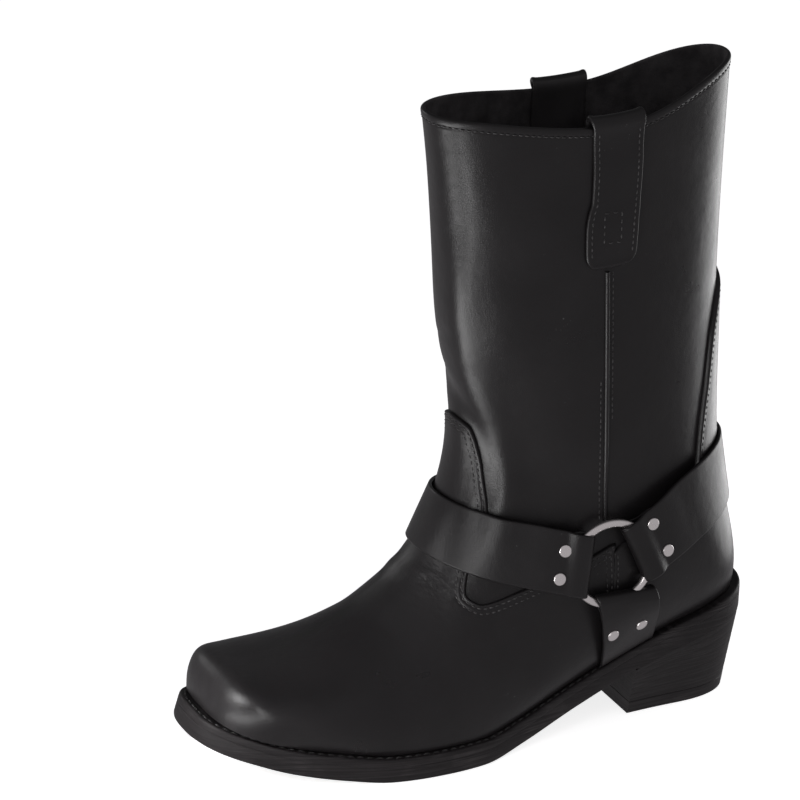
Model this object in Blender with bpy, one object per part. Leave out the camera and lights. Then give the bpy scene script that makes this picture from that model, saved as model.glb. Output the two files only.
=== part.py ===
"""Harness boot for the left foot, built over the surface of its last.

Sizes are millimetres in the boot's own axes: x from the last's heel point to the toe, y to the
wearer's left, z up from the floor. new_part() moves them to metres about the middle of the footprint.
"""

import bmesh
import bpy
import numpy as np
from mathutils.bvhtree import BVHTree

MM = 0.001


def table(columns, *rows):
    """Columns of a short table, by name."""
    return dict(zip(columns.split(), np.array(rows).T))



# Driving sizes
SOLE_BACK = -4.0
SOLE_TOE = 305.0
WALL = 2.2
SEAT_GAP = 0.3
UPPER_GAP = 0.7
OUTSOLE_THICK = 8.5
WELT_THICK = 4.5
WELT_MARGIN = 6.0
HEEL_MARGIN = 7.5
HEEL_MARGIN_T = (1.6, 2.4)
INSOLE_RISE = 1.5
TOE_START = 262.0
TOE_SQUARE = 2.8
TOE_FLARE = 2.0
TOE_LEAN = 0.3
HEEL_START = 38.0
HEEL_ROUND = 2.3
FRAME_X = 151.32
FRAME_Y = 5.55

# Sole: a row for each station, half-widths to the left and right and the height of its underside
SOLE = table(
    "x left right under",
    (-4.0, 34.5, 34.5, 48.0),
    (35.0, 34.5, 34.0, 38.0),
    (70.0, 38.0, 33.0, 28.0),
    (105.0, 43.5, 31.5, 16.0),
    (140.0, 52.0, 35.5, 4.5),
    (165.0, 60.0, 41.5, 0.0),
    (190.0, 63.5, 47.0, 0.0),
    (215.0, 62.5, 51.0, 0.0),
    (240.0, 56.0, 51.0, 2.0),
    (265.0, 46.5, 45.5, 5.5),
    (285.0, 38.5, 39.0, 10.5),
    (305.0, 36.0, 36.0, 17.0),
)

# Last: a row for each section from the toe's feather line to the collar. low runs along the feather
# line (1 toe start, 2 heel start, 3 heel back) and then up the back, a unit for each 100 mm.
LAST = table(
    "front_x front_z low left right widest top_round low_round lean",
    (296.0, 29.4, 1.00, 41.0, 37.5, 0.00, 2.8, 2.0, 0.0),
    (294.8, 38.5, 1.03, 44.0, 38.5, 0.00, 3.0, 2.0, -0.5),
    (290.5, 46.0, 1.07, 47.5, 40.0, 0.03, 3.0, 2.0, -1.0),
    (280.5, 49.7, 1.13, 53.0, 43.0, 0.08, 2.7, 2.0, -2.0),
    (262.0, 51.3, 1.22, 57.5, 46.0, 0.12, 2.4, 2.0, -3.0),
    (240.0, 55.3, 1.33, 59.0, 44.5, 0.16, 2.2, 2.0, -4.0),
    (215.5, 64.6, 1.45, 56.5, 42.0, 0.20, 2.1, 2.0, -4.0),
    (192.0, 80.5, 1.58, 52.0, 40.0, 0.25, 2.1, 2.0, -4.0),
    (173.5, 103.0, 1.72, 47.5, 39.5, 0.30, 2.1, 2.0, -3.0),
    (164.0, 131.0, 1.90, 44.0, 39.0, 0.36, 2.1, 2.0, -2.5),
    (161.0, 156.0, 2.30, 42.5, 39.5, 0.42, 2.1, 2.0, -2.0),
    (163.0, 177.0, 3.00, 41.5, 39.5, 0.45, 2.1, 2.0, -2.0),
    (166.5, 196.0, 3.28, 41.0, 39.5, 0.47, 2.1, 2.0, -2.0),
    (171.0, 218.0, 3.75, 39.5, 39.0, 0.50, 2.2, 2.1, -2.0),
    (173.5, 246.0, 4.25, 38.0, 38.0, 0.50, 2.3, 2.2, -2.0),
    (176.5, 276.0, 4.77, 36.0, 36.5, 0.50, 2.3, 2.2, -2.0),
    (180.0, 306.0, 5.30, 34.0, 35.0, 0.50, 2.3, 2.2, -2.0),
    (184.0, 331.0, 5.83, 32.0, 33.5, 0.50, 2.3, 2.2, -2.0),
    (187.0, 353.0, 6.05, 31.0, 33.0, 0.50, 2.3, 2.2, -2.0),
)
CLOSING_ROW = 11.0
COLLAR_ROW = 17.0
COLLAR_DIP = 0.32
COLLAR_BACK_RISE = 0.25
COLLAR_BACK_FROM = 0.6
SHAFT_BLEND = 2.0
COLLAR_BLEND_ROW = 15.0
COLLAR_NEAR_Z = 327.0
SIDES = ((1, "left"), (-1, "right"))

# Back of the heel and shaft: height above the heel's feather line and x
BACK = table(
    "rise x",
    (0.0, 3.5),
    (20.0, 3.5),
    (45.0, 9.0),
    (75.0, 16.0),
    (110.0, 18.5),
    (170.0, 20.0),
    (230.0, 20.0),
    (285.0, 19.0),
    (310.0, 18.5),
)
RISE_PER_LOW = 100.0
HEEL_BACK = 3.0
LEVEL_COLUMNS = ("low", "widest", "top_round", "low_round")

# Heel, sole edges and clearances
HEEL_BREAST_T = 1.86
BREAST_CLEAR_T = 0.02
HEEL_HALF = 36.0
HEEL_SIDE_TAPER = 7.0
HEEL_BACK_TAPER = 6.0
HEEL_LIFT = 7.0
TREAD_BEVEL = 1.2
WELT_STEP = 0.8
WELT_CLEAR = 0.1
INSOLE_CLEAR = 1.0
FEATHER_FROM = 0.9

# Overlays: girth and row along their edges, the same on both sides
VAMP_OUT = (0.8, 2.2)
VAMP_EDGE = table(
    "girth row",
    (0.00, 10.62),
    (0.06, 10.56),
    (0.10, 10.10),
    (0.14, 9.53),
    (0.20, 9.00),
    (0.28, 7.93),
    (0.34, 7.68),
    (0.39, 7.73),
    (0.46, 8.37),
    (0.53, 9.46),
    (0.55, 10.00),
    (0.57, 9.78),
    (0.69, 9.21),
    (1.00, 8.45),
)
COUNTER_OUT = (1.2, 2.4)
COUNTER_GAP = 0.04
COUNTER_EDGE = table(
    "girth row",
    (0.565, 10.20),
    (0.620, 11.10),
    (0.700, 12.00),
    (0.793, 12.79),
    (0.848, 13.66),
    (0.880, 14.33),
    (0.930, 14.75),
    (1.000, 14.95),
)

# Straps: heights of their edges in side view, and the line where each folds round its ring
STRAP_IN = 3.8
STRAP_THICK = 2.2
FRONT_STRAP = table(
    "x top bottom",
    (100.0, 112.0, 77.3),
    (120.0, 116.8, 83.0),
    (140.0, 120.6, 87.5),
    (160.0, 124.6, 91.8),
    (185.0, 131.0, 99.5),
)
FRONT_FOLD_X = (107.6, 103.7)
FRONT_TURN_X = 130.0
BACK_STRAP = table(
    "x top bottom",
    (0.0, 150.5, 113.5),
    (10.0, 148.0, 110.5),
    (30.0, 141.5, 104.0),
    (46.0, 136.8, 98.0),
    (58.0, 132.0, 92.5),
    (69.0, 126.0, 86.8),
    (90.0, 113.0, 78.5),
)
BACK_FOLD_X = (74.3, 88.6)
BACK_TURN_X = 45.0
SOLE_STRAP_TOP = (70.4, 102.7)
SOLE_STRAP_LOW = (61.5, 93.0)
SOLE_STRAP_TOP_Z = 80.0
STRAP_FOOT_GAP = 1.4
STAND_OFF = 4.0
STAND_REACH = (26.0, 85.0)
SOLE_STAND_REACH = (22.0, 60.0)
FOLD_END = (32.0, 44.0)

# Rings and rivets, by their place in side view
RING_X, RING_Z = 93.3, 96.0
RING_OUT = 7.2
RING_RADIUS = 21.6
WIRE_RADIUS = 2.1
RING_STEPS, WIRE_STEPS = 24, 8
RING_HOLD = (23.5, 28.5)
RIVETS = (  # strap, x and z
    ("strap_front", 119.6, 108.2),
    ("strap_front", 122.9, 93.0),
    ("strap_back", 71.0, 114.8),
    ("strap_back", 62.3, 99.5),
    ("sole_strap", 91.4, 57.6),
    ("sole_strap", 75.5, 60.0),
)
RIVET_RADIUS = 3.3
RIVET_RISE = 1.7
RIVET_STEPS, RIVET_RINGS = 8, 2
RIVET_SEARCH = 40.0

# Pull loops and side piping, by their place in side view
LOOP_X = 95.6
LOOP_HALF = 15.0
LOOP_THICK = 1.6
LOOP = table(
    "rise out half",
    (-73.0, 1.2, 9.5),
    (-70.5, 1.2, 12.5),
    (-66.0, 1.2, 14.2),
    (-45.0, 1.2, 14.8),
    (-20.0, 1.2, 15.0),
    (-2.0, 1.3, 15.0),
    (3.0, 1.8, 15.0),
    (6.2, 0.8, 15.0),
    (7.4, -1.1, 15.0),
    (6.2, -3.0, 15.0),
    (3.0, -3.9, 15.0),
    (-2.0, -3.5, 15.0),
    (-20.0, -3.4, 15.0),
    (-42.0, -3.4, 14.5),
)
PIPING_TOP = (98.1, 250.0)
PIPING_LOW = (93.9, 113.0)
PIPING_HALF = 1.2
PIPING_STEPS = 15
PIPING_OUT = (0.3, 0.7, 1.7)

# Fineness of the surface grid and of the meshes
SECTION_STEPS = 40
SMOOTH_PASSES = 30
FEATHER_STEPS = 240
LAST_ROW = len(LAST["low"]) - 1
GRID_V = np.linspace(0, LAST_ROW, 12 * LAST_ROW + 1)
GRID_U = np.linspace(-1, 1, 129)
GIRTH_STEPS = 12
GIRTH_CLEAR = 0.012
GIRTH = (1 - np.cos(np.linspace(0, np.pi, GIRTH_STEPS + 1))) / 2
VAMP_WHOLE_ROW = 7.2
FOOT_SPANS = ((0, 1, 2), (1, 3, 4), (3, VAMP_WHOLE_ROW, 5), (VAMP_WHOLE_ROW, CLOSING_ROW - 1, 6))
FOOT_ROWS = np.concatenate([np.linspace(*span, endpoint=False) for span in FOOT_SPANS])
HEEL_ROWS = np.linspace(CLOSING_ROW - 1, CLOSING_ROW, 6, endpoint=False)
SHAFT_ROWS = np.arange(CLOSING_ROW, COLLAR_BLEND_ROW)
COLLAR_STEPS = 5
VAMP_STEPS = 6
COUNTER_STEPS = (9, 6)
EDGE_SPANS = ((0, 1, 10), (1, 2, 13), (2, 3, 8))
EDGE_T = np.concatenate([*(np.linspace(*span, endpoint=False) for span in EDGE_SPANS), [3.0]])
STRAP_ACROSS = 4
SOLE_STRAP_ALONG = 8
STRAP_ALONG = 15
SIDE_STEPS = 12
STRAP_GATHER = 1.2
SEARCH_U = np.linspace(0.0, 1.0, 161)
SEARCH_V = np.linspace(0.0, LAST_ROW, 433)
SEARCH_ROUNDS = 4
LEAST_AREA = 1.0
SMALL = 1e-3

# Finishes: colour, roughness and metallic value
SOLE_BLACK = (0.012, 0.011, 0.011)
LEATHER_BLACK = (0.014, 0.013, 0.013)
FINISHES = {
    "rubber": (SOLE_BLACK, 0.55, 0.0),
    "stack": (SOLE_BLACK, 0.5, 0.0),
    "board": ((0.02, 0.017, 0.015), 0.8, 0.0),
    "leather": (LEATHER_BLACK, 0.4, 0.0),
    "nickel": ((0.75, 0.74, 0.72), 0.15, 1.0),
}


def natural_spline(knots, values):
    """Smooth curve through the values at the knots, with no bend at its ends."""
    count = len(knots)
    step = np.diff(knots)
    system = np.eye(count)
    bend = np.zeros(count)
    slope = np.diff(values) / step
    for i in range(1, count - 1):
        system[i, i - 1 : i + 2] = step[i - 1], 2 * (step[i - 1] + step[i]), step[i]
        bend[i] = 6 * (slope[i] - slope[i - 1])
    second = np.linalg.solve(system, bend)

    def curve(at):
        at = np.clip(at, knots[0], knots[-1])
        i = np.clip(np.searchsorted(knots, at) - 1, 0, count - 2)
        a = (knots[i + 1] - at) / step[i]
        b = 1 - a
        bow = ((a**3 - a) * second[i] + (b**3 - b) * second[i + 1]) * step[i] ** 2 / 6
        return a * values[i] + b * values[i + 1] + bow

    return curve


def level_spline(knots, values):
    """Curve through the values that never rises past them, so level stretches stay level."""
    step = np.diff(knots)
    slope = np.diff(values) / step
    tangent = np.zeros(len(knots))
    tangent[0] = slope[0]
    tangent[-1] = slope[-1]
    before, after = slope[:-1], slope[1:]
    same = before * after > 0
    tangent[1:-1][same] = 2 * before[same] * after[same] / (before[same] + after[same])

    def curve(at):
        at = np.clip(at, knots[0], knots[-1])
        i = np.clip(np.searchsorted(knots, at) - 1, 0, len(step) - 1)
        t = (at - knots[i]) / step[i]
        rest = 1 - t
        ends = values[i] * rest**2 * (1 + 2 * t) + values[i + 1] * t**2 * (1 + 2 * rest)
        return ends + step[i] * t * rest * (tangent[i] * rest - tangent[i + 1] * t)

    return curve


def smooth_step(x):
    x = np.clip(x, 0.0, 1.0)
    return x * x * (3 - 2 * x)


sole_left = natural_spline(SOLE["x"], SOLE["left"])
sole_right = natural_spline(SOLE["x"], SOLE["right"])
sole_under = level_spline(SOLE["x"], SOLE["under"])
back_x = natural_spline(BACK["rise"], BACK["x"])


def welt_top(x):
    return sole_under(x) + OUTSOLE_THICK + WELT_THICK


def sole_edge(t, side):
    """Edge of the sole from the toe's middle (t 0) past toe start (1) and heel start (2) to the heel (3)."""
    toe = np.clip(t, 0, 1) * np.pi / 2
    heel = np.clip(t - 2, 0, 1) * np.pi / 2
    x = TOE_START + (SOLE_TOE - TOE_START) * np.cos(toe) ** (2 / TOE_SQUARE)
    x = np.where(t > 1, TOE_START + (HEEL_START - TOE_START) * (t - 1), x)
    x = np.where(t > 2, HEEL_START + (SOLE_BACK - HEEL_START) * np.sin(heel) ** (2 / HEEL_ROUND), x)
    reach = np.sin(toe) ** (2 / TOE_SQUARE) * np.cos(heel) ** (2 / HEEL_ROUND)
    width = sole_left(x) if side > 0 else sole_right(x)
    return np.stack([x, side * width * reach], -1)


def inset_edge(t, side, amount):
    """The sole's edge moved inwards, square to itself."""
    along = sole_edge(np.minimum(t + SMALL, HEEL_BACK), side) - sole_edge(np.maximum(t - SMALL, 0), side)
    along /= np.linalg.norm(along, axis=-1, keepdims=True)
    inward = side * np.stack([-along[..., 1], along[..., 0]], -1)
    return sole_edge(t, side) + inward * np.asarray(amount)[..., None]


def toe_flare(t, height):
    """Inset of the sole's edge at a height over its underside: it leans back at the toe."""
    return (TOE_LEAN * height - TOE_FLARE) * (1 - smooth_step(t))


def margin(t):
    start, end = HEEL_MARGIN_T
    return WELT_MARGIN + (HEEL_MARGIN - WELT_MARGIN) * smooth_step((t - start) / (end - start))


def new_part(name, points, faces, finish):
    """A named object from millimetre points, in metres about the middle of the footprint."""
    moved = to_metres(points)
    mesh = bpy.data.meshes.new(name)
    mesh.from_pydata(moved.tolist(), [], [list(map(int, face)) for face in faces])
    work = bmesh.new()
    work.from_mesh(mesh)
    bmesh.ops.recalc_face_normals(work, faces=work.faces)
    work.to_mesh(mesh)
    work.free()
    mesh.materials.append(material(name, finish))
    part = bpy.data.objects.new(name, mesh)
    bpy.context.scene.collection.objects.link(part)
    return part


def low_point(low, side):
    """Point of the feather line, or of the line up the back once low passes the heel."""
    t = np.minimum(low, HEEL_BACK)
    edge = inset_edge(t, side, margin(t))
    rise = np.maximum(low - HEEL_BACK, 0) * RISE_PER_LOW
    x = np.where(low > HEEL_BACK, back_x(rise), edge[..., 0])
    y = np.where(low < HEEL_BACK, edge[..., 1], 0.0)
    return np.stack([x, y, welt_top(edge[..., 0]) + UPPER_GAP + rise], -1)


def over_feather(x, low, side):
    """Half-width of the feather line at x, moved along with the back once low has passed the heel."""
    t = np.linspace(HEEL_BACK, 1.0, FEATHER_STEPS)
    line = low_point(t, side)
    back = low_point(np.array(max(low, HEEL_BACK)), side)[0]
    return np.interp(x - back + line[0, 0], line[:, 0], np.abs(line[:, 1]))


def section(v, side):
    """Half of the last's section at row v, from its front or top line to the feather or back line."""
    row = {name: curve(v) for name, curve in last_curves.items()}
    low = low_point(row["low"], side)
    inner = abs(low[1])
    width = max(row["left"] if side > 0 else row["right"], inner)
    angle = np.linspace(0.0, np.pi / 2, SECTION_STEPS)
    top = 2 / row["top_round"]
    widest = max(row["widest"], 0.0)
    below = 1 - np.sin(angle[1:])
    seat = over_feather(low[0] + widest * below * (row["front_x"] - low[0]), row["low"], side)
    over_sole = width - (width - seat) * (1 - below) ** 2
    oval = inner + (width - inner) * (1 - (1 - below) ** row["low_round"]) ** (1 / row["low_round"])
    shaft = smooth_step((v - CLOSING_ROW) / SHAFT_BLEND)
    rise = np.concatenate([widest + (1 - widest) * np.cos(angle) ** top, widest * below])
    out = np.concatenate([width * np.sin(angle) ** top, over_sole + (oval - over_sole) * shaft])
    x = low[0] + rise * (row["front_x"] - low[0])
    z = low[2] + rise * (row["front_z"] - low[2])
    curve = np.stack([x, side * out + row["lean"] * rise, z], -1)
    length = np.concatenate([[0.0], np.cumsum(np.linalg.norm(np.diff(curve, axis=0), axis=1))])
    share = np.abs(GRID_U[GRID_U * side >= 0]) * length[-1]
    return np.stack([np.interp(share, length, curve[:, k]) for k in range(3)], -1)


def last_grid():
    """Points of the last's surface and its outward normals on an even grid of rows and girth."""
    points = np.array([
        np.concatenate([section(v, -1)[:-1], section(v, 1)]) for v in GRID_V
    ])
    girth, row = np.meshgrid(np.abs(GRID_U), GRID_V)
    edge = smooth_step((girth - FEATHER_FROM) / (1 - FEATHER_FROM)) * smooth_step(CLOSING_ROW + 1 - row)
    for _ in range(SMOOTH_PASSES):
        middle = (points[:-2] + 2 * points[1:-1] + points[2:]) / 4
        points[1:-1] += (middle - points[1:-1]) * (1 - edge[1:-1, :, None])
    normals = np.cross(np.gradient(points, axis=1), np.gradient(points, axis=0))
    closed = GRID_V >= CLOSING_ROW
    seam = normals[closed, 0] + normals[closed, -1]
    normals[closed, 0] = seam
    normals[closed, -1] = seam
    flat = np.maximum(edge * smooth_step(CLOSING_ROW - row), smooth_step(1 - row))
    normals /= np.linalg.norm(normals, axis=-1, keepdims=True)
    normals[..., 2] *= 1 - flat
    return points, normals / np.linalg.norm(normals, axis=-1, keepdims=True)


def read_grid(grid, u, v):
    """Value of a grid at girth u (0 at the front line, 1 at the left low edge) and row v."""
    u, v = np.broadcast_arrays(u, v)
    column = np.clip((u + 1) / 2, 0, 1) * (len(GRID_U) - 1)
    line = np.clip(v / GRID_V[-1], 0, 1) * (len(GRID_V) - 1)
    i = np.minimum(line.astype(int), len(GRID_V) - 2)
    j = np.minimum(column.astype(int), len(GRID_U) - 2)
    a = (line - i)[..., None]
    b = (column - j)[..., None]
    near = grid[i, j] * (1 - b) + grid[i, j + 1] * b
    far = grid[i + 1, j] * (1 - b) + grid[i + 1, j + 1] * b
    return near * (1 - a) + far * a


def on_last(u, v, out=0.0):
    """Point on the last's surface, moved outwards along its normal."""
    return read_grid(last_points, u, v) + np.asarray(out)[..., None] * read_grid(last_normals, u, v)


def collar(u):
    """Row of the collar's edge: highest at the back, lowest at the sides."""
    back = COLLAR_BACK_RISE * smooth_step((np.abs(u) - COLLAR_BACK_FROM) / (1 - COLLAR_BACK_FROM))
    return COLLAR_ROW - COLLAR_DIP * np.sin(np.pi * np.abs(u)) ** 2 + back


def grid_quads(index):
    """Quads over a table of point numbers."""
    corners = index[:-1, :-1], index[:-1, 1:], index[1:, 1:], index[1:, :-1]
    return np.stack(corners, -1).reshape(-1, 4)


def shell(outer, inner, quads):
    """Points and faces of the closed space between two sheets that share the same quads."""
    count = len(outer)
    edges = {(a, b) for q in quads for a, b in zip(q, np.roll(q, -1))}
    rim = [(b, a, a + count, b + count) for a, b in edges if (b, a) not in edges]
    faces = [*quads, *(quads[:, ::-1] + count), *sorted(rim)]
    return np.concatenate([outer, inner]), faces


def plate(levels, open_front=False):
    """Points and faces of a slab from pairs of left and right edges, upper level first.

    The edges meet at the back and, unless the front is open and so a flat face, at the front too.
    """
    count = len(levels[0][0])
    met = 0 if open_front else 1
    points = np.concatenate([np.concatenate([left, right[met:-1]]) for left, right in levels])
    size = len(points) // len(levels)
    left_side = np.arange(count)
    right_side = np.concatenate([[0] * met, np.arange(count, size), [count - 1]]).astype(int)
    loop = np.concatenate([left_side, np.arange(count, size)[::-1]])
    after = np.roll(loop, -1)
    faces = []
    for k in range(count - 1):
        cap = [left_side[k], left_side[k + 1], right_side[k + 1], right_side[k]]
        cap = list(dict.fromkeys(cap))
        faces += [cap, [corner + len(points) - size for corner in cap[::-1]]]
    for top in range(0, len(points) - size, size):
        faces += [[top + b, top + a, top + size + a, top + size + b] for a, b in zip(loop, after)]
    return points, faces


def material(name, finish):
    colour, roughness, metallic = FINISHES[finish]
    made = bpy.data.materials.new(f"{name}_{finish}")
    made.use_nodes = True
    shader = made.node_tree.nodes["Principled BSDF"]
    shader.inputs["Base Color"].default_value = (*colour, 1.0)
    shader.inputs["Roughness"].default_value = roughness
    shader.inputs["Metallic"].default_value = metallic
    return made


def with_height(edge, height):
    return np.concatenate([edge, np.asarray(height)[:, None]], 1)


def sole_pair(t, amount, rise):
    """Left and right edge of the sole, moved inwards, at a height over the sole's underside."""
    edges = [inset_edge(t, side, amount + toe_flare(t, rise)) for side in (1, -1)]
    return [with_height(edge, sole_under(edge[:, 0]) + rise) for edge in edges]


def feather_pair(amount, height):
    """Left and right halves of the upper's lower edge, moved inwards."""
    halves = []
    for side in (1, -1):
        toe = on_last(side * EDGE_T[EDGE_T < 1], 0.0)
        line = np.concatenate([toe, low_point(EDGE_T[EDGE_T >= 1], side)])[:, :2]
        mirrored = line[[1]] * (1, -1)
        after = line[[-2]] * (1, -1)
        along = np.gradient(np.concatenate([mirrored, line, after]), axis=0)[1:-1]
        along /= np.linalg.norm(along, axis=1, keepdims=True)
        moved = line + amount * side * np.stack([-along[:, 1], along[:, 0]], -1)
        halves.append(with_height(moved, height(moved[:, 0])))
    return halves


def build_outsole():
    points, faces = plate([
        sole_pair(EDGE_T, 0.0, OUTSOLE_THICK),
        sole_pair(EDGE_T, 0.0, TREAD_BEVEL),
        sole_pair(EDGE_T, TREAD_BEVEL, 0.0),
    ])
    new_part("outsole", points, faces, "rubber")


def build_welt():
    """Ring from the sole's edge to under the upper's wall."""
    loops = []
    for rise in (OUTSOLE_THICK + WELT_THICK, OUTSOLE_THICK + SEAT_GAP):
        outside = sole_pair(EDGE_T, WELT_STEP, rise)
        inside = feather_pair(WALL + WELT_CLEAR, lambda x: sole_under(x) + rise)
        loops += [np.concatenate([left, right[-2:0:-1]]) for left, right in (outside, inside)]
    top_out, top_in, low_out, low_in = loops
    size = len(top_out)
    ring = np.stack([np.arange(size) + size * k for k in (0, 1, 3, 2, 0)])
    index = np.concatenate([ring, ring[:, :1]], 1)
    points = np.concatenate([top_out, top_in, low_out, low_in])
    new_part("welt", points, grid_quads(index), "leather")


def build_insole():
    clear = WALL + INSOLE_CLEAR
    points, faces = plate([
        feather_pair(clear, lambda x: welt_top(x) + INSOLE_RISE),
        feather_pair(clear, lambda x: sole_under(x) + OUTSOLE_THICK + SEAT_GAP),
    ])
    new_part("insole", points, faces, "board")


def heel_level(drop, height):
    """Left and right edge of the heel at a share of the way down its taper."""
    t = np.concatenate([[HEEL_BREAST_T], EDGE_T[EDGE_T > HEEL_BREAST_T + BREAST_CLEAR_T]])
    pair = []
    for side in (1, -1):
        edge = sole_edge(t, side)
        breast = edge[0, 0]
        x = breast + (edge[:, 0] - breast) * (1 - drop * HEEL_BACK_TAPER / breast)
        y = edge[:, 1] * (1 - drop * HEEL_SIDE_TAPER / HEEL_HALF)
        pair.append(with_height(np.stack([x, y], -1), height(edge[:, 0])))
    return pair


def build_heel():
    lift_share = 1 - HEEL_LIFT / sole_under(SOLE_BACK)
    points, faces = plate([
        heel_level(0.0, lambda x: sole_under(x) - SEAT_GAP),
        heel_level(lift_share, lambda x: np.full_like(x, HEEL_LIFT + SEAT_GAP)),
    ], open_front=True)
    new_part("heel_block", points, faces, "stack")
    points, faces = plate([
        heel_level(lift_share, lambda x: np.full_like(x, HEEL_LIFT)),
        heel_level(1.0, np.zeros_like),
    ], open_front=True)
    new_part("heel_lift", points, faces, "rubber")


def build_upper():
    girth = np.concatenate([-GIRTH[:0:-1], GIRTH])
    u, v_low = np.meshgrid(girth, np.concatenate([FOOT_ROWS, HEEL_ROWS, SHAFT_ROWS]))
    high = np.linspace(0, 1, COLLAR_STEPS)
    v_high = COLLAR_BLEND_ROW + (collar(girth) - COLLAR_BLEND_ROW) * high[:, None]
    v = np.concatenate([v_low, v_high])
    u = np.concatenate([u, np.broadcast_to(girth, v_high.shape)])
    index = np.arange(u.size).reshape(u.shape)
    closed = v[:, 0] >= CLOSING_ROW
    index[closed, -1] = index[closed, 0]
    outer = on_last(u, v).reshape(-1, 3)
    inner = on_last(u, v, -WALL).reshape(-1, 3)
    quads = grid_quads(index)
    used, order = np.unique(quads, return_inverse=True)
    points, faces = shell(outer[used], inner[used], order.reshape(quads.shape))
    new_part("upper", points, faces, "leather")


def at_side(x, z, side):
    """Girth and row of the points of one side of the last at a place in side view."""
    u, v = (grid.ravel() for grid in np.meshgrid(SEARCH_U * side, SEARCH_V))
    seen = on_last(u, v)[:, (0, 2)]
    wanted = np.stack(np.broadcast_arrays(x, z), -1)
    flat = wanted.reshape(-1, 2)
    best = np.array([((seen - point) ** 2).sum(1).argmin() for point in flat])
    u, v = u[best], v[best]
    for _ in range(SEARCH_ROUNDS):
        by_u = (on_last(u + SMALL, v) - on_last(u - SMALL, v))[:, (0, 2)] / (2 * SMALL)
        by_v = (on_last(u, v + SMALL) - on_last(u, v - SMALL))[:, (0, 2)] / (2 * SMALL)
        miss = flat - on_last(u, v)[:, (0, 2)]
        det = by_u[:, 0] * by_v[:, 1] - by_u[:, 1] * by_v[:, 0]
        det = np.where(np.abs(det) < LEAST_AREA, LEAST_AREA, det)
        u = u + (miss[:, 0] * by_v[:, 1] - miss[:, 1] * by_v[:, 0]) / det
        v = v + (by_u[:, 0] * miss[:, 1] - by_u[:, 1] * miss[:, 0]) / det
        u = np.clip(u * side, 0.0, 1.0) * side
        v = np.clip(v, 0.0, GRID_V[-1])
    shape = wanted.shape[:-1]
    return u.reshape(shape), v.reshape(shape)


def merged_girth(wanted, start):
    """The wanted girths and, between them, those of the upper's own columns that lie clear of them."""
    clear = np.abs(GIRTH[:, None] - wanted).min(axis=1) > GIRTH_CLEAR
    return np.sort(np.concatenate([wanted, GIRTH[clear & (GIRTH > start)]]))


def build_vamp():
    half = merged_girth(VAMP_EDGE["girth"], 0.0)
    girth = np.concatenate([-half[:0:-1], half])
    edge = np.interp(np.abs(girth), VAMP_EDGE["girth"], VAMP_EDGE["row"])
    whole = FOOT_ROWS[FOOT_ROWS < VAMP_WHOLE_ROW][:, None]
    rest = VAMP_WHOLE_ROW + np.linspace(0, 1, VAMP_STEPS)[:, None] * (edge - VAMP_WHOLE_ROW)
    v = np.concatenate([np.broadcast_to(whole, (len(whole), len(girth))), rest])
    u = np.broadcast_to(girth, v.shape)
    quads = grid_quads(np.arange(u.size).reshape(u.shape))
    inner, outer = (on_last(u, v, np.full(u.shape, out)).reshape(-1, 3) for out in VAMP_OUT)
    points, faces = shell(outer, inner, quads)
    new_part("vamp", points, faces, "leather")


def build_counter():
    """Overlay round the heel, with a tall stay up the back; its two sides join at the back seam."""
    girth = merged_girth(COUNTER_EDGE["girth"], COUNTER_EDGE["girth"][0])
    seam = np.interp(girth, VAMP_EDGE["girth"], VAMP_EDGE["row"]) + COUNTER_GAP
    top = np.interp(girth, COUNTER_EDGE["girth"], COUNTER_EDGE["row"])
    closing = (CLOSING_ROW - seam[-1]) / (top[-1] - seam[-1])
    low_steps, high_steps = COUNTER_STEPS
    low = np.linspace(0, closing, low_steps, endpoint=False)
    share = np.concatenate([low, np.linspace(closing, 1, high_steps)])
    v = seam + share[:, None] * (top - seam)
    v = np.concatenate([v, v[:, ::-1]], 1)
    u = np.broadcast_to(np.concatenate([girth, -girth[::-1]]), v.shape)
    index = np.arange(u.size).reshape(u.shape)
    middle = len(girth)
    joined = share >= closing
    index[joined, middle] = index[joined, middle - 1]
    columns = [index[:, :middle], index[:, middle:]]
    quads = np.concatenate([grid_quads(half) for half in columns])
    used, order = np.unique(quads, return_inverse=True)
    inner, outer = (on_last(u, v, np.full(u.shape, out)).reshape(-1, 3)[used] for out in COUNTER_OUT)
    points, faces = shell(outer, inner, order.reshape(quads.shape))
    new_part("heel_counter", points, faces, "leather")


def ring_frame(side):
    """Centre and outward axis of the ring on one side."""
    u, v = at_side(RING_X, RING_Z, side)
    return on_last(u, v, RING_OUT), read_grid(last_normals, u, v)


def led_out(inner, outer, reach, side):
    """Faces of a strap led out towards the ring, the outer one raised over its wire."""
    centre, axis = ring_frame(side)
    rise = (outer - centre) @ axis
    away = np.linalg.norm(outer - centre - rise[..., None] * axis, axis=-1)
    lift = STAND_OFF * (1 - smooth_step((away - reach[0]) / (reach[1] - reach[0])))
    near = 1 - smooth_step((away - RING_HOLD[0]) / (RING_HOLD[1] - RING_HOLD[0]))
    single = smooth_step((away - FOLD_END[0]) / (FOLD_END[1] - FOLD_END[0]))
    wanted = WIRE_RADIUS + SEAT_GAP + STRAP_THICK
    over = lift + np.maximum(wanted - rise - lift, 0) * near
    return inner + (lift * single)[..., None] * axis, outer + over[..., None] * axis


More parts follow.
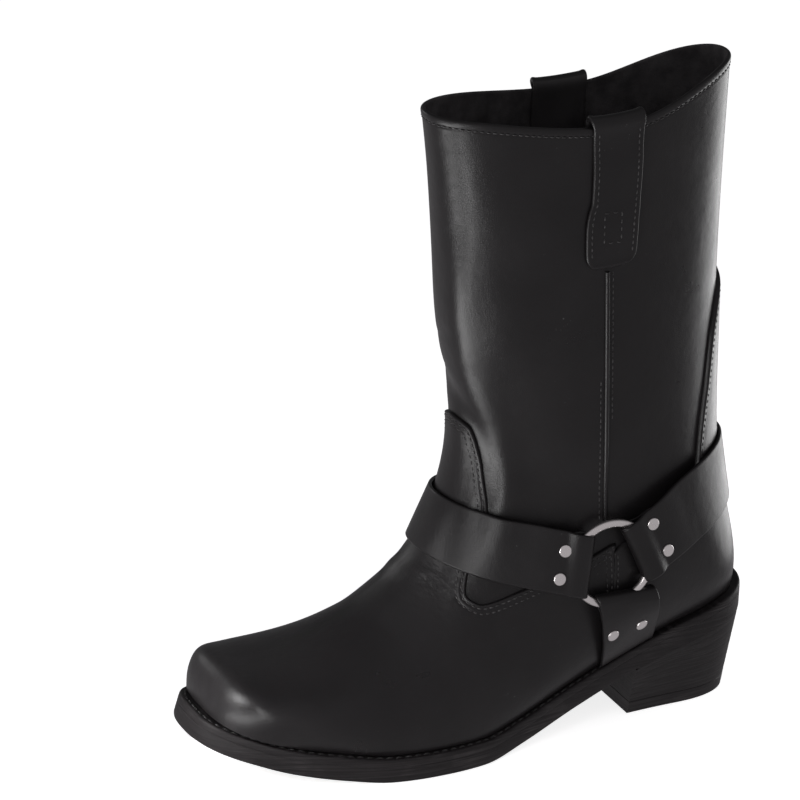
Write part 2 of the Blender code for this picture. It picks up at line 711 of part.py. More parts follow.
def strap_line(edges, fold, turn, end, across, side):
    """Girth and row along a strap at a share of its width: by x up to its turn, then by girth to its end."""
    height = edges["bottom"] + across * (edges["top"] - edges["bottom"])
    x = np.linspace(fold[0] + across * (fold[1] - fold[0]), turn, SIDE_STEPS)
    u, v = at_side(x, np.interp(x, edges["x"], height), side)
    girth = np.linspace(abs(u[-1]), end, SIDE_STEPS)[1:]
    place = on_last(girth[:, None] * side, SEARCH_V[None, :])
    above = place[..., 2] - np.interp(place[..., 0], edges["x"], height)
    line = np.arange(len(girth))
    first = np.argmax(above > 0, axis=1)
    part = above[line, first - 1] / (above[line, first - 1] - above[line, first])
    rows = SEARCH_V[first - 1] + part * (SEARCH_V[1] - SEARCH_V[0])
    return np.concatenate([u, girth * side]), np.concatenate([v, rows])


def strap_half(edges, fold, turn, end, side):
    """Girth and row of the middle line to ring half of a strap, nodes along by nodes across."""
    girth, row = [], []
    for across in np.linspace(0, 1, STRAP_ACROSS):
        u, v = strap_line(edges, fold, turn, end, across, side)
        steps = np.linalg.norm(np.diff(on_last(u, v), axis=0), axis=1)
        length = np.concatenate([[0.0], np.cumsum(steps)])
        at = length[-1] * np.linspace(1, 0, STRAP_ALONG) ** STRAP_GATHER
        girth.append(np.interp(at, length, u))
        row.append(np.interp(at, length, v))
    return np.array(girth).T, np.array(row).T


def build_strap(name, edges, fold, turn, end):
    """A strap from ring to ring, straight across its width where the instep is hollow."""
    halves = []
    for side in (1, -1):
        u, v = strap_half(edges, fold, turn, end, side)
        sheets = []
        for out in (STRAP_IN, STRAP_IN + STRAP_THICK):
            lying = on_last(u, v, np.full(u.shape, out))
            normal = read_grid(last_normals, u, v)
            across = np.linspace(0, 1, STRAP_ACROSS)[None, :, None]
            straight = lying[:, :1] * (1 - across) + lying[:, -1:] * across
            lift = np.maximum(((straight - lying) * normal).sum(-1), 0)
            sheets.append(lying + lift[..., None] * normal)
        halves.append(led_out(*sheets, STAND_REACH, side))
    inner, outer = (
        np.concatenate([halves[0][k][::-1], halves[1][k][1:]]) for k in range(2)
    )
    quads = grid_quads(np.arange(inner[..., 0].size).reshape(inner.shape[:2]))
    points, faces = shell(outer.reshape(-1, 3), inner.reshape(-1, 3), quads)
    strap = new_part(name, points, faces, "leather")
    cut_rings(strap)


def sole_strap_place(side):
    """Girth and row of a sole strap, from its fold under the ring to the feather line."""
    share = np.linspace(0, 1, SOLE_STRAP_ALONG)[:, None]
    across = np.linspace(0, 1, STRAP_ACROSS)
    top_x = SOLE_STRAP_TOP[0] + across * (SOLE_STRAP_TOP[1] - SOLE_STRAP_TOP[0])
    low_x = SOLE_STRAP_LOW[0] + across * (SOLE_STRAP_LOW[1] - SOLE_STRAP_LOW[0])
    x = top_x + share * (low_x - top_x)
    low_z = welt_top(low_x) + STRAP_FOOT_GAP
    z = SOLE_STRAP_TOP_Z + share * (low_z - SOLE_STRAP_TOP_Z)
    return at_side(x, z, side)


def build_sole_strap(side, name):
    u, v = sole_strap_place(side)
    inner = on_last(u, v, np.full(u.shape, STRAP_IN))
    outer = on_last(u, v, np.full(u.shape, STRAP_IN + STRAP_THICK))
    inner, outer = led_out(inner, outer, SOLE_STAND_REACH, side)
    quads = grid_quads(np.arange(u.size).reshape(u.shape))
    points, faces = shell(outer.reshape(-1, 3), inner.reshape(-1, 3), quads)
    strap = new_part(name, points, faces, "leather")
    cut_rings(strap)


def torus(side, wire):
    """Points and faces of a ring of the given wire on one side of the boot."""
    centre, axis = ring_frame(side)
    across, up = square_pair(axis)
    turn, roll = np.meshgrid(
        np.arange(RING_STEPS) * 2 * np.pi / RING_STEPS,
        np.arange(WIRE_STEPS) * 2 * np.pi / WIRE_STEPS, indexing="ij",
    )
    reach = RING_RADIUS + wire * np.cos(roll)
    points = (
        centre + (reach * np.cos(turn))[..., None] * across
        + (reach * np.sin(turn))[..., None] * up + (wire * np.sin(roll))[..., None] * axis
    )
    index = np.arange(turn.size).reshape(turn.shape)
    index = np.concatenate([index, index[:1]])
    index = np.concatenate([index, index[:, :1]], 1)
    return points.reshape(-1, 3), grid_quads(index)


def cut_rings(strap):
    """Channels through a strap's folded ends, a seat gap wider than the rings' wire."""
    for cutter in ring_cutters:
        cut = strap.modifiers.new("channel", "BOOLEAN")
        cut.operation = "DIFFERENCE"
        cut.object = cutter


def to_metres(points):
    return (np.asarray(points) - (FRAME_X, FRAME_Y, 0.0)) * MM


def square_pair(axis):
    """Two directions square to an axis and to each other."""
    across = np.cross((0.0, 0.0, 1.0), axis)
    across /= np.linalg.norm(across)
    return across, np.cross(axis, across)


def rivet_seat(strap, x, z, side):
    """Centre and axis of a cap that clears the strap under its whole rim."""
    u, v = at_side(x, z, side)
    axis = read_grid(last_normals, u, v)
    start = on_last(u, v, RIVET_SEARCH)
    across, up = square_pair(axis)
    strap.data.calc_loop_triangles()
    tree = BVHTree.FromPolygons(
        [vertex.co for vertex in strap.data.vertices],
        [tuple(triangle.vertices) for triangle in strap.data.loop_triangles],
    )
    under = []
    for reach in (RIVET_RADIUS, RIVET_RADIUS / 2, 0.0):
        for turn in np.arange(RIVET_STEPS) * 2 * np.pi / RIVET_STEPS:
            above = start + reach * (np.cos(turn) * across + np.sin(turn) * up)
            distance = tree.ray_cast(to_metres(above).tolist(), (-axis).tolist())[3]
            under.append(above - axis * distance / MM)
    under = np.array(under)
    rim = under[:RIVET_STEPS]
    half, quarter = RIVET_STEPS // 2, RIVET_STEPS // 4
    seat = np.cross(rim[0] - rim[half], rim[quarter] - rim[quarter + half])
    seat /= np.linalg.norm(seat)
    centre = rim.mean(axis=0)
    return centre + seat * (((under - centre) @ seat).max() + SEAT_GAP), seat


def build_rivet(name, strap, x, z, side):
    """A domed cap standing a seat gap off the strap under it."""
    centre, axis = rivet_seat(strap, x, z, side)
    across, up = square_pair(axis)
    points = [centre, centre + axis * RIVET_RISE]
    turn = np.arange(RIVET_STEPS) * 2 * np.pi / RIVET_STEPS
    for angle in np.linspace(0, np.pi / 2, RIVET_RINGS, endpoint=False):
        radius = RIVET_RADIUS * np.cos(angle)
        height = RIVET_RISE * np.sin(angle)
        points += [centre + radius * (np.cos(a) * across + np.sin(a) * up) + height * axis for a in turn]
    ring = np.arange(RIVET_STEPS)
    after = np.roll(ring, -1)
    first, last = 2, 2 + RIVET_STEPS * (RIVET_RINGS - 1)
    faces = [[0, first + b, first + a] for a, b in zip(ring, after)]
    faces += [[1, last + a, last + b] for a, b in zip(ring, after)]
    for k in range(RIVET_RINGS - 1):
        low, high = first + k * RIVET_STEPS, first + (k + 1) * RIVET_STEPS
        faces += [[low + a, low + b, high + b, high + a] for a, b in zip(ring, after)]
    new_part(name, points, faces, "nickel")


def build_pull_loop(side, name):
    """Band from outside the collar, bowed over its edge and down inside."""
    across = np.linspace(-1, 1, STRAP_ACROSS)
    x = LOOP_X + across * LOOP["half"][:, None]
    u, v = at_side(LOOP_X + across * LOOP_HALF, np.full(STRAP_ACROSS, COLLAR_NEAR_Z), side)
    edge = on_last(u, collar(u))[:, 2]
    middle = np.stack([LOOP["rise"], LOOP["out"]], -1)
    along = np.gradient(middle, axis=0)
    along /= np.linalg.norm(along, axis=1, keepdims=True)
    square = np.stack([-along[:, 1], along[:, 0]], -1)
    sheets = []
    for shift in (LOOP_THICK / 2, -LOOP_THICK / 2):
        path = middle + square * shift
        u, v = at_side(x, edge + path[:, :1], side)
        sheets.append(on_last(u, v, np.broadcast_to(path[:, 1:], x.shape)))
    outer, inner = sheets
    quads = grid_quads(np.arange(x.size).reshape(x.shape))
    points, faces = shell(outer.reshape(-1, 3), inner.reshape(-1, 3), quads)
    new_part(name, points, faces, "leather")


def build_piping(side, name):
    share = np.linspace(0, 1, PIPING_STEPS)[:, None]
    x = PIPING_TOP[0] + share * (PIPING_LOW[0] - PIPING_TOP[0]) + np.array([-1, 0, 1]) * PIPING_HALF
    z = np.broadcast_to(PIPING_TOP[1] + share * (PIPING_LOW[1] - PIPING_TOP[1]), x.shape)
    u, v = at_side(x, z, side)
    low, shoulder, crown = PIPING_OUT
    outer = on_last(u, v, np.broadcast_to([shoulder, crown, shoulder], x.shape))
    inner = on_last(u, v, np.full(x.shape, low))
    quads = grid_quads(np.arange(x.size).reshape(x.shape))
    points, faces = shell(outer.reshape(-1, 3), inner.reshape(-1, 3), quads)
    new_part(name, points, faces, "leather")


for left_over in list(bpy.data.objects):
    bpy.data.objects.remove(left_over, do_unlink=True)

last_curves = {
    name: (level_spline if name in LEVEL_COLUMNS else natural_spline)(
        np.arange(LAST_ROW + 1.0), column
    )
    for name, column in LAST.items()
}
last_points, last_normals = last_grid()

build_outsole()
build_welt()
build_insole()
build_heel()
build_upper()
build_vamp()
build_counter()

ring_cutters = []
for side, word in SIDES:
    points, faces = torus(side, WIRE_RADIUS)
    new_part("ring_" + word, points, faces, "nickel")
    points, faces = torus(side, WIRE_RADIUS + SEAT_GAP)
    cutter = new_part("channel_" + word, points, faces, "nickel")
    cutter.hide_render = True
    cutter.display_type = "WIRE"
    ring_cutters.append(cutter)

build_strap("strap_front", FRONT_STRAP, FRONT_FOLD_X, FRONT_TURN_X, 0.0)
build_strap("strap_back", BACK_STRAP, BACK_FOLD_X, BACK_TURN_X, 1.0)
for side, word in SIDES:
    build_sole_strap(side, "sole_strap_" + word)
    build_pull_loop(side, "pull_loop_" + word)
    build_piping(side, "side_piping_" + word)
    for number, (strap, x, z) in enumerate(RIVETS, 1):
        carrier = strap + "_" + word if strap == "sole_strap" else strap
        build_rivet(f"rivet_{word}_{number}", bpy.data.objects[carrier], x, z, side)
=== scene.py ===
"""Looks of a black harness boot for the left foot, fitted to its solids.

Sizes are millimetres in the boot's own axes: x from the last's heel point to the toe, y to the
wearer's left, z up from the floor. new_piece() moves them to metres about the middle of the footprint.
"""

import bmesh
import bpy
import numpy as np
from mathutils import Matrix, Vector


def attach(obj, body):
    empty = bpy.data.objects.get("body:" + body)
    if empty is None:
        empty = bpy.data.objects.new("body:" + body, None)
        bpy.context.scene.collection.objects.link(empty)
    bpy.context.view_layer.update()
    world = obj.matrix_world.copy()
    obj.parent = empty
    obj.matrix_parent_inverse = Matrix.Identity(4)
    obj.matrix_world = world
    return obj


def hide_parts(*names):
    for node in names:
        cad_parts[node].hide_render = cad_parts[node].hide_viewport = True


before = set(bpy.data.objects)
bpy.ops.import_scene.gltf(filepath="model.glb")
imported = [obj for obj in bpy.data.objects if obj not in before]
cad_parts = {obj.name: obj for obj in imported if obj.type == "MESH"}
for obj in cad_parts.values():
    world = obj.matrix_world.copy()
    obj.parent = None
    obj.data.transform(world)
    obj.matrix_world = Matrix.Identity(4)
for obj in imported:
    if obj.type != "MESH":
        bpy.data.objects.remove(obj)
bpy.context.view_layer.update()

MM = 0.001


def table(columns, *rows):
    """Columns of a short table, by name."""
    return dict(zip(columns.split(), np.array(rows).T))


# Driving sizes
SOLE_BACK = -4.0
SOLE_TOE = 305.0
FRAME_X = 151.32
FRAME_Y = 5.55
WALL = 2.2
UPPER_GAP = 0.7
SEAT_GAP = 0.3
OUTSOLE_THICK = 8.5
WELT_THICK = 4.5
WELT_MARGIN = 6.0
HEEL_MARGIN = 7.5
HEEL_MARGIN_T = (1.6, 2.4)
TOE_START = 262.0
TOE_SQUARE = 2.8
TOE_FLARE = 2.0
TOE_LEAN = 0.3
HEEL_START = 38.0
HEEL_ROUND = 2.3
SIDES = ((1, "left"), (-1, "right"))

# Sole: a row for each station, half-widths to the left and right and the height of its underside
SOLE = table(
    "x left right under",
    (-4.0, 34.5, 34.5, 48.0),
    (35.0, 34.5, 34.0, 38.0),
    (70.0, 38.0, 33.0, 28.0),
    (105.0, 43.5, 31.5, 16.0),
    (140.0, 52.0, 35.5, 4.5),
    (165.0, 60.0, 41.5, 0.0),
    (190.0, 63.5, 47.0, 0.0),
    (215.0, 62.5, 51.0, 0.0),
    (240.0, 56.0, 51.0, 2.0),
    (265.0, 46.5, 45.5, 5.5),
    (285.0, 38.5, 39.0, 10.5),
    (305.0, 36.0, 36.0, 17.0),
)

# Last: a row for each section from the toe's feather line to the collar. low runs along the feather
# line (1 toe start, 2 heel start, 3 heel back) and then up the back, a unit for each 100 mm.
LAST = table(
    "front_x front_z low left right widest top_round low_round lean",
    (296.0, 29.4, 1.00, 41.0, 37.5, 0.00, 2.8, 2.0, 0.0),
    (294.8, 38.5, 1.03, 44.0, 38.5, 0.00, 3.0, 2.0, -0.5),
    (290.5, 46.0, 1.07, 47.5, 40.0, 0.03, 3.0, 2.0, -1.0),
    (280.5, 49.7, 1.13, 53.0, 43.0, 0.08, 2.7, 2.0, -2.0),
    (262.0, 51.3, 1.22, 57.5, 46.0, 0.12, 2.4, 2.0, -3.0),
    (240.0, 55.3, 1.33, 59.0, 44.5, 0.16, 2.2, 2.0, -4.0),
    (215.5, 64.6, 1.45, 56.5, 42.0, 0.20, 2.1, 2.0, -4.0),
    (192.0, 80.5, 1.58, 52.0, 40.0, 0.25, 2.1, 2.0, -4.0),
    (173.5, 103.0, 1.72, 47.5, 39.5, 0.30, 2.1, 2.0, -3.0),
    (164.0, 131.0, 1.90, 44.0, 39.0, 0.36, 2.1, 2.0, -2.5),
    (161.0, 156.0, 2.30, 42.5, 39.5, 0.42, 2.1, 2.0, -2.0),
    (163.0, 177.0, 3.00, 41.5, 39.5, 0.45, 2.1, 2.0, -2.0),
    (166.5, 196.0, 3.28, 41.0, 39.5, 0.47, 2.1, 2.0, -2.0),
    (171.0, 218.0, 3.75, 39.5, 39.0, 0.50, 2.2, 2.1, -2.0),
    (173.5, 246.0, 4.25, 38.0, 38.0, 0.50, 2.3, 2.2, -2.0),
    (176.5, 276.0, 4.77, 36.0, 36.5, 0.50, 2.3, 2.2, -2.0),
    (180.0, 306.0, 5.30, 34.0, 35.0, 0.50, 2.3, 2.2, -2.0),
    (184.0, 331.0, 5.83, 32.0, 33.5, 0.50, 2.3, 2.2, -2.0),
    (187.0, 353.0, 6.05, 31.0, 33.0, 0.50, 2.3, 2.2, -2.0),
)
LEVEL_COLUMNS = ("low", "widest", "top_round", "low_round")
CLOSING_ROW = 11.0
COLLAR_ROW = 17.0
COLLAR_DIP = 0.32
COLLAR_BACK_RISE = 0.25
COLLAR_BACK_FROM = 0.6
COLLAR_NEAR_Z = 327.0
COLLAR_BEAD = 0.4
COLLAR_BEAD_AT = 2.2
SHAFT_BLEND = 2.0
FEATHER_FROM = 0.9
HEEL_BACK = 3.0
RISE_PER_LOW = 100.0

# Back of the heel and shaft: height above the heel's feather line and x
BACK = table(
    "rise x",
    (0.0, 3.5),
    (20.0, 3.5),
    (45.0, 9.0),
    (75.0, 16.0),
    (110.0, 18.5),
    (170.0, 20.0),
    (230.0, 20.0),
    (285.0, 19.0),
    (310.0, 18.5),
)

# Soft troughs and ridges: height, half-width, then girth and row of the points along each
CREASES = (
    (-1.5, 7.0, ((-0.10, 12.5), (-0.045, 11.8), (0.01, 11.2), (0.052, 10.9), (0.087, 10.58),
                 (0.12, 10.12), (0.15, 9.64), (0.185, 9.1), (0.22, 8.6))),
    (1.5, 9.0, ((0.085, 15.2), (0.082, 13.7), (0.078, 12.9), (0.085, 11.9), (0.115, 11.1),
                (0.152, 10.3), (0.20, 9.6), (0.25, 9.0), (0.30, 8.4))),
    (-0.9, 11.0, ((0.22, 13.4), (0.2, 12.3), (0.215, 11.3), (0.255, 10.4), (0.31, 9.6), (0.36, 9.0))),
    (-0.35, 2.6, ((-0.16, 12.55), (-0.02, 12.72), (0.06, 12.95), (0.13, 13.25))),
    (-0.8, 9.0, ((-0.42, 9.3), (-0.28, 10.0), (-0.15, 10.5), (-0.06, 10.7))),
    (-0.45, 3.2, ((-0.22, 7.05), (-0.08, 7.0), (0.07, 7.12), (0.2, 7.4))),
    (-0.4, 3.0, ((-0.26, 7.5), (-0.1, 7.42), (0.06, 7.52), (0.19, 7.85))),
    (0.35, 4.0, ((-0.22, 7.28), (-0.08, 7.22), (0.07, 7.32), (0.19, 7.6))),
    (-0.4, 7.0, ((-0.4, 6.3), (-0.15, 6.1), (0.12, 6.2), (0.4, 6.7))),
    (-0.5, 12.0, ((0.62, 13.2), (0.66, 12.2), (0.72, 11.3))),
    (0.9, 5.5, ((-0.62, 1.9), (-0.35, 2.25), (0.0, 2.35), (0.3, 2.35), (0.5, 2.25), (0.68, 2.0))),
    (-0.5, 8.0, ((-0.5, 2.9), (-0.2, 3.2), (0.05, 3.3), (0.3, 3.3), (0.55, 3.1))),
    (-0.5, 5.0, ((0.17, 0.2), (0.165, 0.9), (0.155, 1.6), (0.14, 2.2))),
)
CREASE_TAPER = 0.22
CREASE_STEPS = 4

# Overlays: girth and row along their edges, the same on both sides
VAMP_THICK = 2.0
VAMP_EDGE = table(
    "girth row",
    (0.00, 10.62),
    (0.06, 10.56),
    (0.10, 10.10),
    (0.14, 9.53),
    (0.20, 9.00),
    (0.28, 7.93),
    (0.34, 7.68),
    (0.39, 7.73),
    (0.46, 8.37),
    (0.53, 9.46),
    (0.55, 10.00),
    (0.57, 9.78),
    (0.69, 9.21),
    (1.00, 8.45),
)
COUNTER_THICK = 2.5
COUNTER_LAP = 0.045
COUNTER_EDGE = table(
    "girth row",
    (0.565, 10.20),
    (0.620, 11.10),
    (0.700, 12.00),
    (0.793, 12.79),
    (0.848, 13.66),
    (0.880, 14.33),
    (0.930, 14.75),
    (1.000, 14.95),
)
EDGE_ROUND = 1.0
EDGE_SINK = 0.15
VAMP_STITCH = (2.3, 5.0)
COUNTER_STITCH = (2.3,)
STITCH_GROOVE = 0.28
GROOVE_WIDTH = 0.7
STITCH_CLEAR = 0.5
COUNTER_EDGE_SHARE = 0.45

# Straps: heights of their edges in side view, and the line where each folds round its ring
STRAP_HALF = 1.1
STRAP_LIE = 3.7
STRAP_ROUND = 0.9
FRONT_STRAP = table(
    "x top bottom",
    (100.0, 112.0, 77.3),
    (120.0, 116.8, 83.0),
    (140.0, 120.6, 87.5),
    (160.0, 124.6, 91.8),
    (185.0, 131.0, 99.5),
)
FRONT_FOLD_X = (107.6, 103.7)
FRONT_TURN_X = 130.0
BACK_STRAP = table(
    "x top bottom",
    (0.0, 150.5, 113.5),
    (10.0, 148.0, 110.5),
    (30.0, 141.5, 104.0),
    (46.0, 136.8, 98.0),
    (58.0, 132.0, 92.5),
    (69.0, 126.0, 86.8),
    (90.0, 113.0, 78.5),
)
BACK_FOLD_X = (74.3, 88.6)
BACK_TURN_X = 45.0
SOLE_STRAP_TOP = (69.2, 102.7)
SOLE_STRAP_LOW = (61.5, 93.0)
SOLE_STRAP_TOP_Z = 80.0
STRAP_FOOT_GAP = 1.4
STAND_OFF = 4.0
STAND_REACH = (26.0, 85.0)
SOLE_STAND_REACH = (22.0, 60.0)
FOLD_END = (32.0, 44.0)
FOLD_REACH = 4.2
RETURN_REACH = 22.0
SOLE_RETURN_REACH = 28.0
RETURN_BLEND = 18.0
RETURN_THIN = 0.35
THIN_REACH = 8.0
RETURN_NARROW = 0.16
LAYER_RISE = 1.0
HUMP = (7.8, 15.0)
SOLE_HUMP = (5.0, 34.0)

# Rings and rivets, by their place in side view: strap, x and z of each rivet, and its cap's profile
RING_X, RING_Z = 93.3, 96.0
RING_OUT = 7.2
RING_RADIUS = 21.6
WIRE_RADIUS = 2.1
RIVETS = (
    ("strap_front", 119.6, 108.2),
    ("strap_front", 122.9, 93.0),
    ("strap_back", 71.0, 114.8),
    ("strap_back", 62.3, 99.5),
    ("sole_strap", 91.4, 57.6),
    ("sole_strap", 75.5, 60.0),
)
RIVET_RADIUS = 3.3
RIVET_RISE = 1.25
RIVET_SINK = 0.3
CAP_PROFILE = table(
    "reach rise",
    (0.97, 0.00),
    (1.00, 0.22),
    (1.00, 0.45),
    (0.97, 0.70),
    (0.90, 0.86),
    (0.80, 0.93),
    (0.50, 0.98),
    (0.20, 1.00),
    (0.001, 1.00),
)

# Pull loops and side piping, by their place in side view. The loop's stitches stop at row LOOP_BEND of
# its table and its back starts at row LOOP_TOP. Stitch spans: side of the piping, first and last step.
LOOP_X = 95.6
LOOP_HALF = 15.0
LOOP_THICK = 1.6
LOOP_BINDING = 0.35
BINDING_WIDTH = 2.4
LOOP = table(
    "rise out half lean",
    (-73.0, 1.2, 9.5, 1.0),
    (-70.5, 1.2, 12.5, 1.0),
    (-66.0, 1.2, 14.0, 1.0),
    (-52.0, 1.2, 14.5, 0.8),
    (-45.0, 1.2, 14.3, 0.2),
    (-38.0, 1.2, 13.5, -0.8),
    (-20.0, 1.2, 13.7, -1.3),
    (-2.0, 1.3, 14.2, -1.3),
    (1.6, 1.7, 14.7, -0.8),
    (4.0, 0.7, 15.0, -0.3),
    (4.9, -1.1, 15.0, 0.0),
    (4.0, -2.9, 15.0, 0.0),
    (1.6, -3.8, 15.0, 0.0),
    (-2.0, -3.5, 15.0, 0.0),
    (-20.0, -3.4, 15.0, 0.0),
    (-42.0, -3.4, 14.5, 0.0),
)
LOOP_BEND = 7
LOOP_TOP = 11
LOOP_OUT = 1.2
LOOP_STITCH = 3.1
BOX_STITCH = ((91.9, 265.5), (101.3, 281.0))
PIPING_TOP = (98.1, 250.0)
PIPING_LOW = (93.9, 113.0)
PIPING_HALF = 1.25
PIPING_RISE = 1.5
PIPING_WRAP = 0.6
PIPING_STITCH = 3.2
PIPING_STITCH_SPANS = ((1, 0, 70), (-1, 50, 120))

# Heel, sole edges and insole; a profile gives inset and height, or share of height and growth
HEEL_BREAST_T = 1.86
HEEL_HALF = 36.0
HEEL_SIDE_TAPER = 7.0
HEEL_BACK_TAPER = 6.0
HEEL_LIFT = 7.0
HEEL_LAYERS = 6
HEEL_LAYER_DEPTH = 0.08
HEEL_LAYER_WIDTH = 0.12
HEEL_SEAM = 0.05
LIFT_PROFILE = ((0.0, -0.3), (0.05, 0.0), (0.5, 0.05), (0.92, 0.0), (1.0, -0.6))
INSOLE_RISE = 1.5
INSOLE_INSET = 3.2
INSOLE_DISH = 0.8
OUTSOLE_PROFILE = ((0.5, 8.55), (0.06, 8.5), (0.0, 8.3), (0.0, 4.5), (0.05, 1.6), (0.4, 0.45), (1.2, 0.0))
WELT_PROFILE = (
    (9.5, 12.8), (6.4, 12.95), (4.2, 13.0), (3.2, 12.85), (2.4, 12.85), (1.5, 13.0),
    (0.8, 12.8), (0.35, 12.4), (0.1, 11.7), (0.02, 10.4), (0.0, 8.8), (0.06, 8.6), (1.0, 8.57),
)
WELT_STITCH_IN = 2.8
WELT_STITCH_Z = 12.95
WELT_STITCH_PAST = 0.05

# Stitches: length, gap and radius of each thread, then how its ends narrow and how deep it lies
FINE_STITCH = (2.3, 0.9, 0.42)
WELT_STITCH = (3.6, 1.3, 0.55)
STITCH_END = 0.04
STITCH_SWELL = 0.45
STITCH_SINK = 0.75
STITCH_RINGS = 5
STITCH_TURNS = 6
COLLAR_STITCH = 4.4

# Fineness of the surface grid and of the meshes
SECTION_STEPS = 160
FEATHER_STEPS = 600
ROW_STEPS = 16
LAST_ROW = len(LAST["low"]) - 1
GRID_V = np.linspace(0, LAST_ROW, ROW_STEPS * LAST_ROW + 1)
GRID_U = np.linspace(-1, 1, 257)
SMOOTH_PASSES = 53
SEARCH_U = np.linspace(0.0, 1.0, 161)
SEARCH_V = np.linspace(0.0, LAST_ROW, 289)
SEARCH_ROUNDS = 5
LEAST_AREA = 1.0
SMALL = 1e-3
ROW_STEP = 0.1
GATHER = 1.5
UPPER_COLUMNS = 201
UPPER_ROWS = 120
RIM_ROWS = 34
RIM_DEPTH = 14.0
VAMP_COLUMNS = 361
VAMP_ROWS = 60
COUNTER_COLUMNS = 111
COUNTER_ROWS = 30
EDGE_STEPS = np.array((
    0, 0.08, 0.22, 0.42, 0.7, 1.0, 1.4, 1.7, 2.0, 2.3, 2.6, 2.9, 3.3, 3.9, 4.4, 4.7, 5.0, 5.3, 5.6, 6.2, 7.2,
))
EDGE_ROWS = len(EDGE_STEPS) + 4
LINE_STEPS = 200
SIDE_STEPS = 40
ACROSS_STEPS = np.array([0, 0.08, 0.25, 0.5, 0.9, 1.6, 3.0])
ACROSS_MIDDLE = 12
OUTER_STEPS = 110
ROLL_STEPS = 14
RETURN_STEPS = 20
LOOP_ALONG = 120
COLLAR_LINE_STEPS = 800
VAMP_LINE_STEPS = 1600
SOLE_LINE_STEPS = 40
RING_TURNS = 121
WIRE_TURNS = 25
CAP_TURNS = 41
LOOP_PATH_STEPS = 720
LOOP_STITCH_SKIP = 6
BOX_STEPS = 12
PIPING_STEPS = 120
PIPING_TURNS = 13
EDGE_T = np.linspace(0.0, 3.0, 361)
SOLE_ACROSS = 9
HEEL_STEPS = 140
HEEL_ACROSS = 13
HEEL_LEVELS = 61
INSOLE_ACROSS = 25
MERGE = 2e-6
SHARP = 0.6

# Finishes. Patches: scale, detail and span of a cloud. Reliefs: height in metres and strength, after
# the scale and detail of a cloud where it has one.
MIDDLE = (0.3, 0.7)
LEATHER_BLACK = (0.0088, 0.0078, 0.0083)
LEATHER_WORN = (0.012, 0.0108, 0.0114)
LEATHER_ROUGH = (0.27, 0.36)
LEATHER_COAT = 0.06
STRAP_ROUGH = (0.28, 0.38)
STRAP_COAT = 0.05
LOOP_BACK = (0.042, 0.0395, 0.0405)
LOOP_BACK_ROUGH = (0.5, 0.6)
COAT_ROUGH = 0.25
LEATHER_SHINE = 0.28
WORN_PATCHES = (22.0, 3.0, (0.35, 0.7))
GLOSS_PATCHES = (34.0, 4.0, MIDDLE)
DUST = (0.06, 0.06, 0.06)
DUST_SPECKS = (620.0, 2.0, (0.72, 0.76))
DUST_PATCHES = (45.0, 2.0, (0.55, 0.68))
LEATHER_WAVES = (130.0, 2.0, 0.00024, 0.35)
LEATHER_PORES = (2600.0, 2.0, 0.000025, 0.35)
GRAIN_SCALE = 950.0
GRAIN_VALLEY = 0.16
GRAIN_RELIEF = (0.00005, 0.42)
WRINKLES = 0.0003
WRINKLE_STRENGTH = 0.4
WRINKLE_SCALE = (420.0, 60.0, 420.0)
WRINKLE_PATCHES = (1.0, 3.0, (0.35, 0.65))
WRINKLE_PLACE = (178.0, 18.0, 92.0, 26.0)
LINING_TONES = ((0.032, 0.03, 0.031), (0.066, 0.062, 0.0635))
LINING_ROUGH = 0.9
LINING_SHINE = 0.2
LINING_PATCHES = (90.0, 4.0, (0.35, 0.65))
LINING_RELIEF = (1500.0, 3.0, 0.0002, 0.7)
THREAD = (0.018, 0.0168, 0.0172)
THREAD_LIGHT = (0.038, 0.0355, 0.0365)
WELT_THREAD = (0.006, 0.0055, 0.0056)
THREAD_ROUGH = 0.45
THREAD_PATCHES = (300.0, 2.0, (0.4, 0.6))
THREAD_RELIEF = (4000.0, 1.0, 0.00008, 0.8)
INK_TONES = ((0.0125, 0.011, 0.0116), (0.04, 0.036, 0.037))
STACK_TONES = ((0.013, 0.0116, 0.0121), (0.032, 0.029, 0.03))
EDGE_ROUGH = (0.45, 0.62)
EDGE_SHINE = 0.14
SCRATCH_SCALE = (30.0, 30.0, 1500.0)
SCRATCH_PATCHES = (1.0, 3.0, (0.42, 0.75))
SCRATCH_RELIEF = (0.00012, 0.5)
SCRATCH_LEAST = 0.35
SCUFF_PATCHES = (60.0, 5.0, (0.5, 0.75))
EDGE_RELIEF = (220.0, 3.0, 0.0002, 0.3)
BOARD = (0.02, 0.017, 0.015)
BOARD_TONES = ((0.012, 0.011, 0.01), (0.026, 0.022, 0.019))
BOARD_ROUGH = 0.85
BOARD_PATCHES = (160.0, 4.0, (0.35, 0.65))
NICKEL = (0.93, 0.885, 0.88)
NICKEL_ROUGH = (0.24, 0.36)
NICKEL_PATCHES = (160.0, 4.0, (0.35, 0.7))
NICKEL_RELIEF = (500.0, 2.0, 0.00004, 0.25)
FLOOR_TONES = ((0.86, 0.86, 0.86), (0.85, 0.85, 0.855))
FLOOR_ROUGH = 0.7
FLOOR_SHINE = 0.1
FLOOR_PATCHES = (3.0, 2.0, MIDDLE)
FLOOR_GLOW = 0.93

# Camera, floor and light, in the boot's own millimetres. FLOOR_REACH: towards the camera, away from it
# and to each side.
CAMERA = (1132.6, 1983.2, 1060.8)
YAW, PITCH, ROLL = np.radians((64.64, 21.97, 2.21))
LENS = 212.67
SENSOR = 36.0
SHIFT = (0.00075, 0.012)
FLOOR_MIDDLE = (140.0, 0.0, 0.0)
FLOOR_REACH = (360.0, 3500.0, 2500.0)
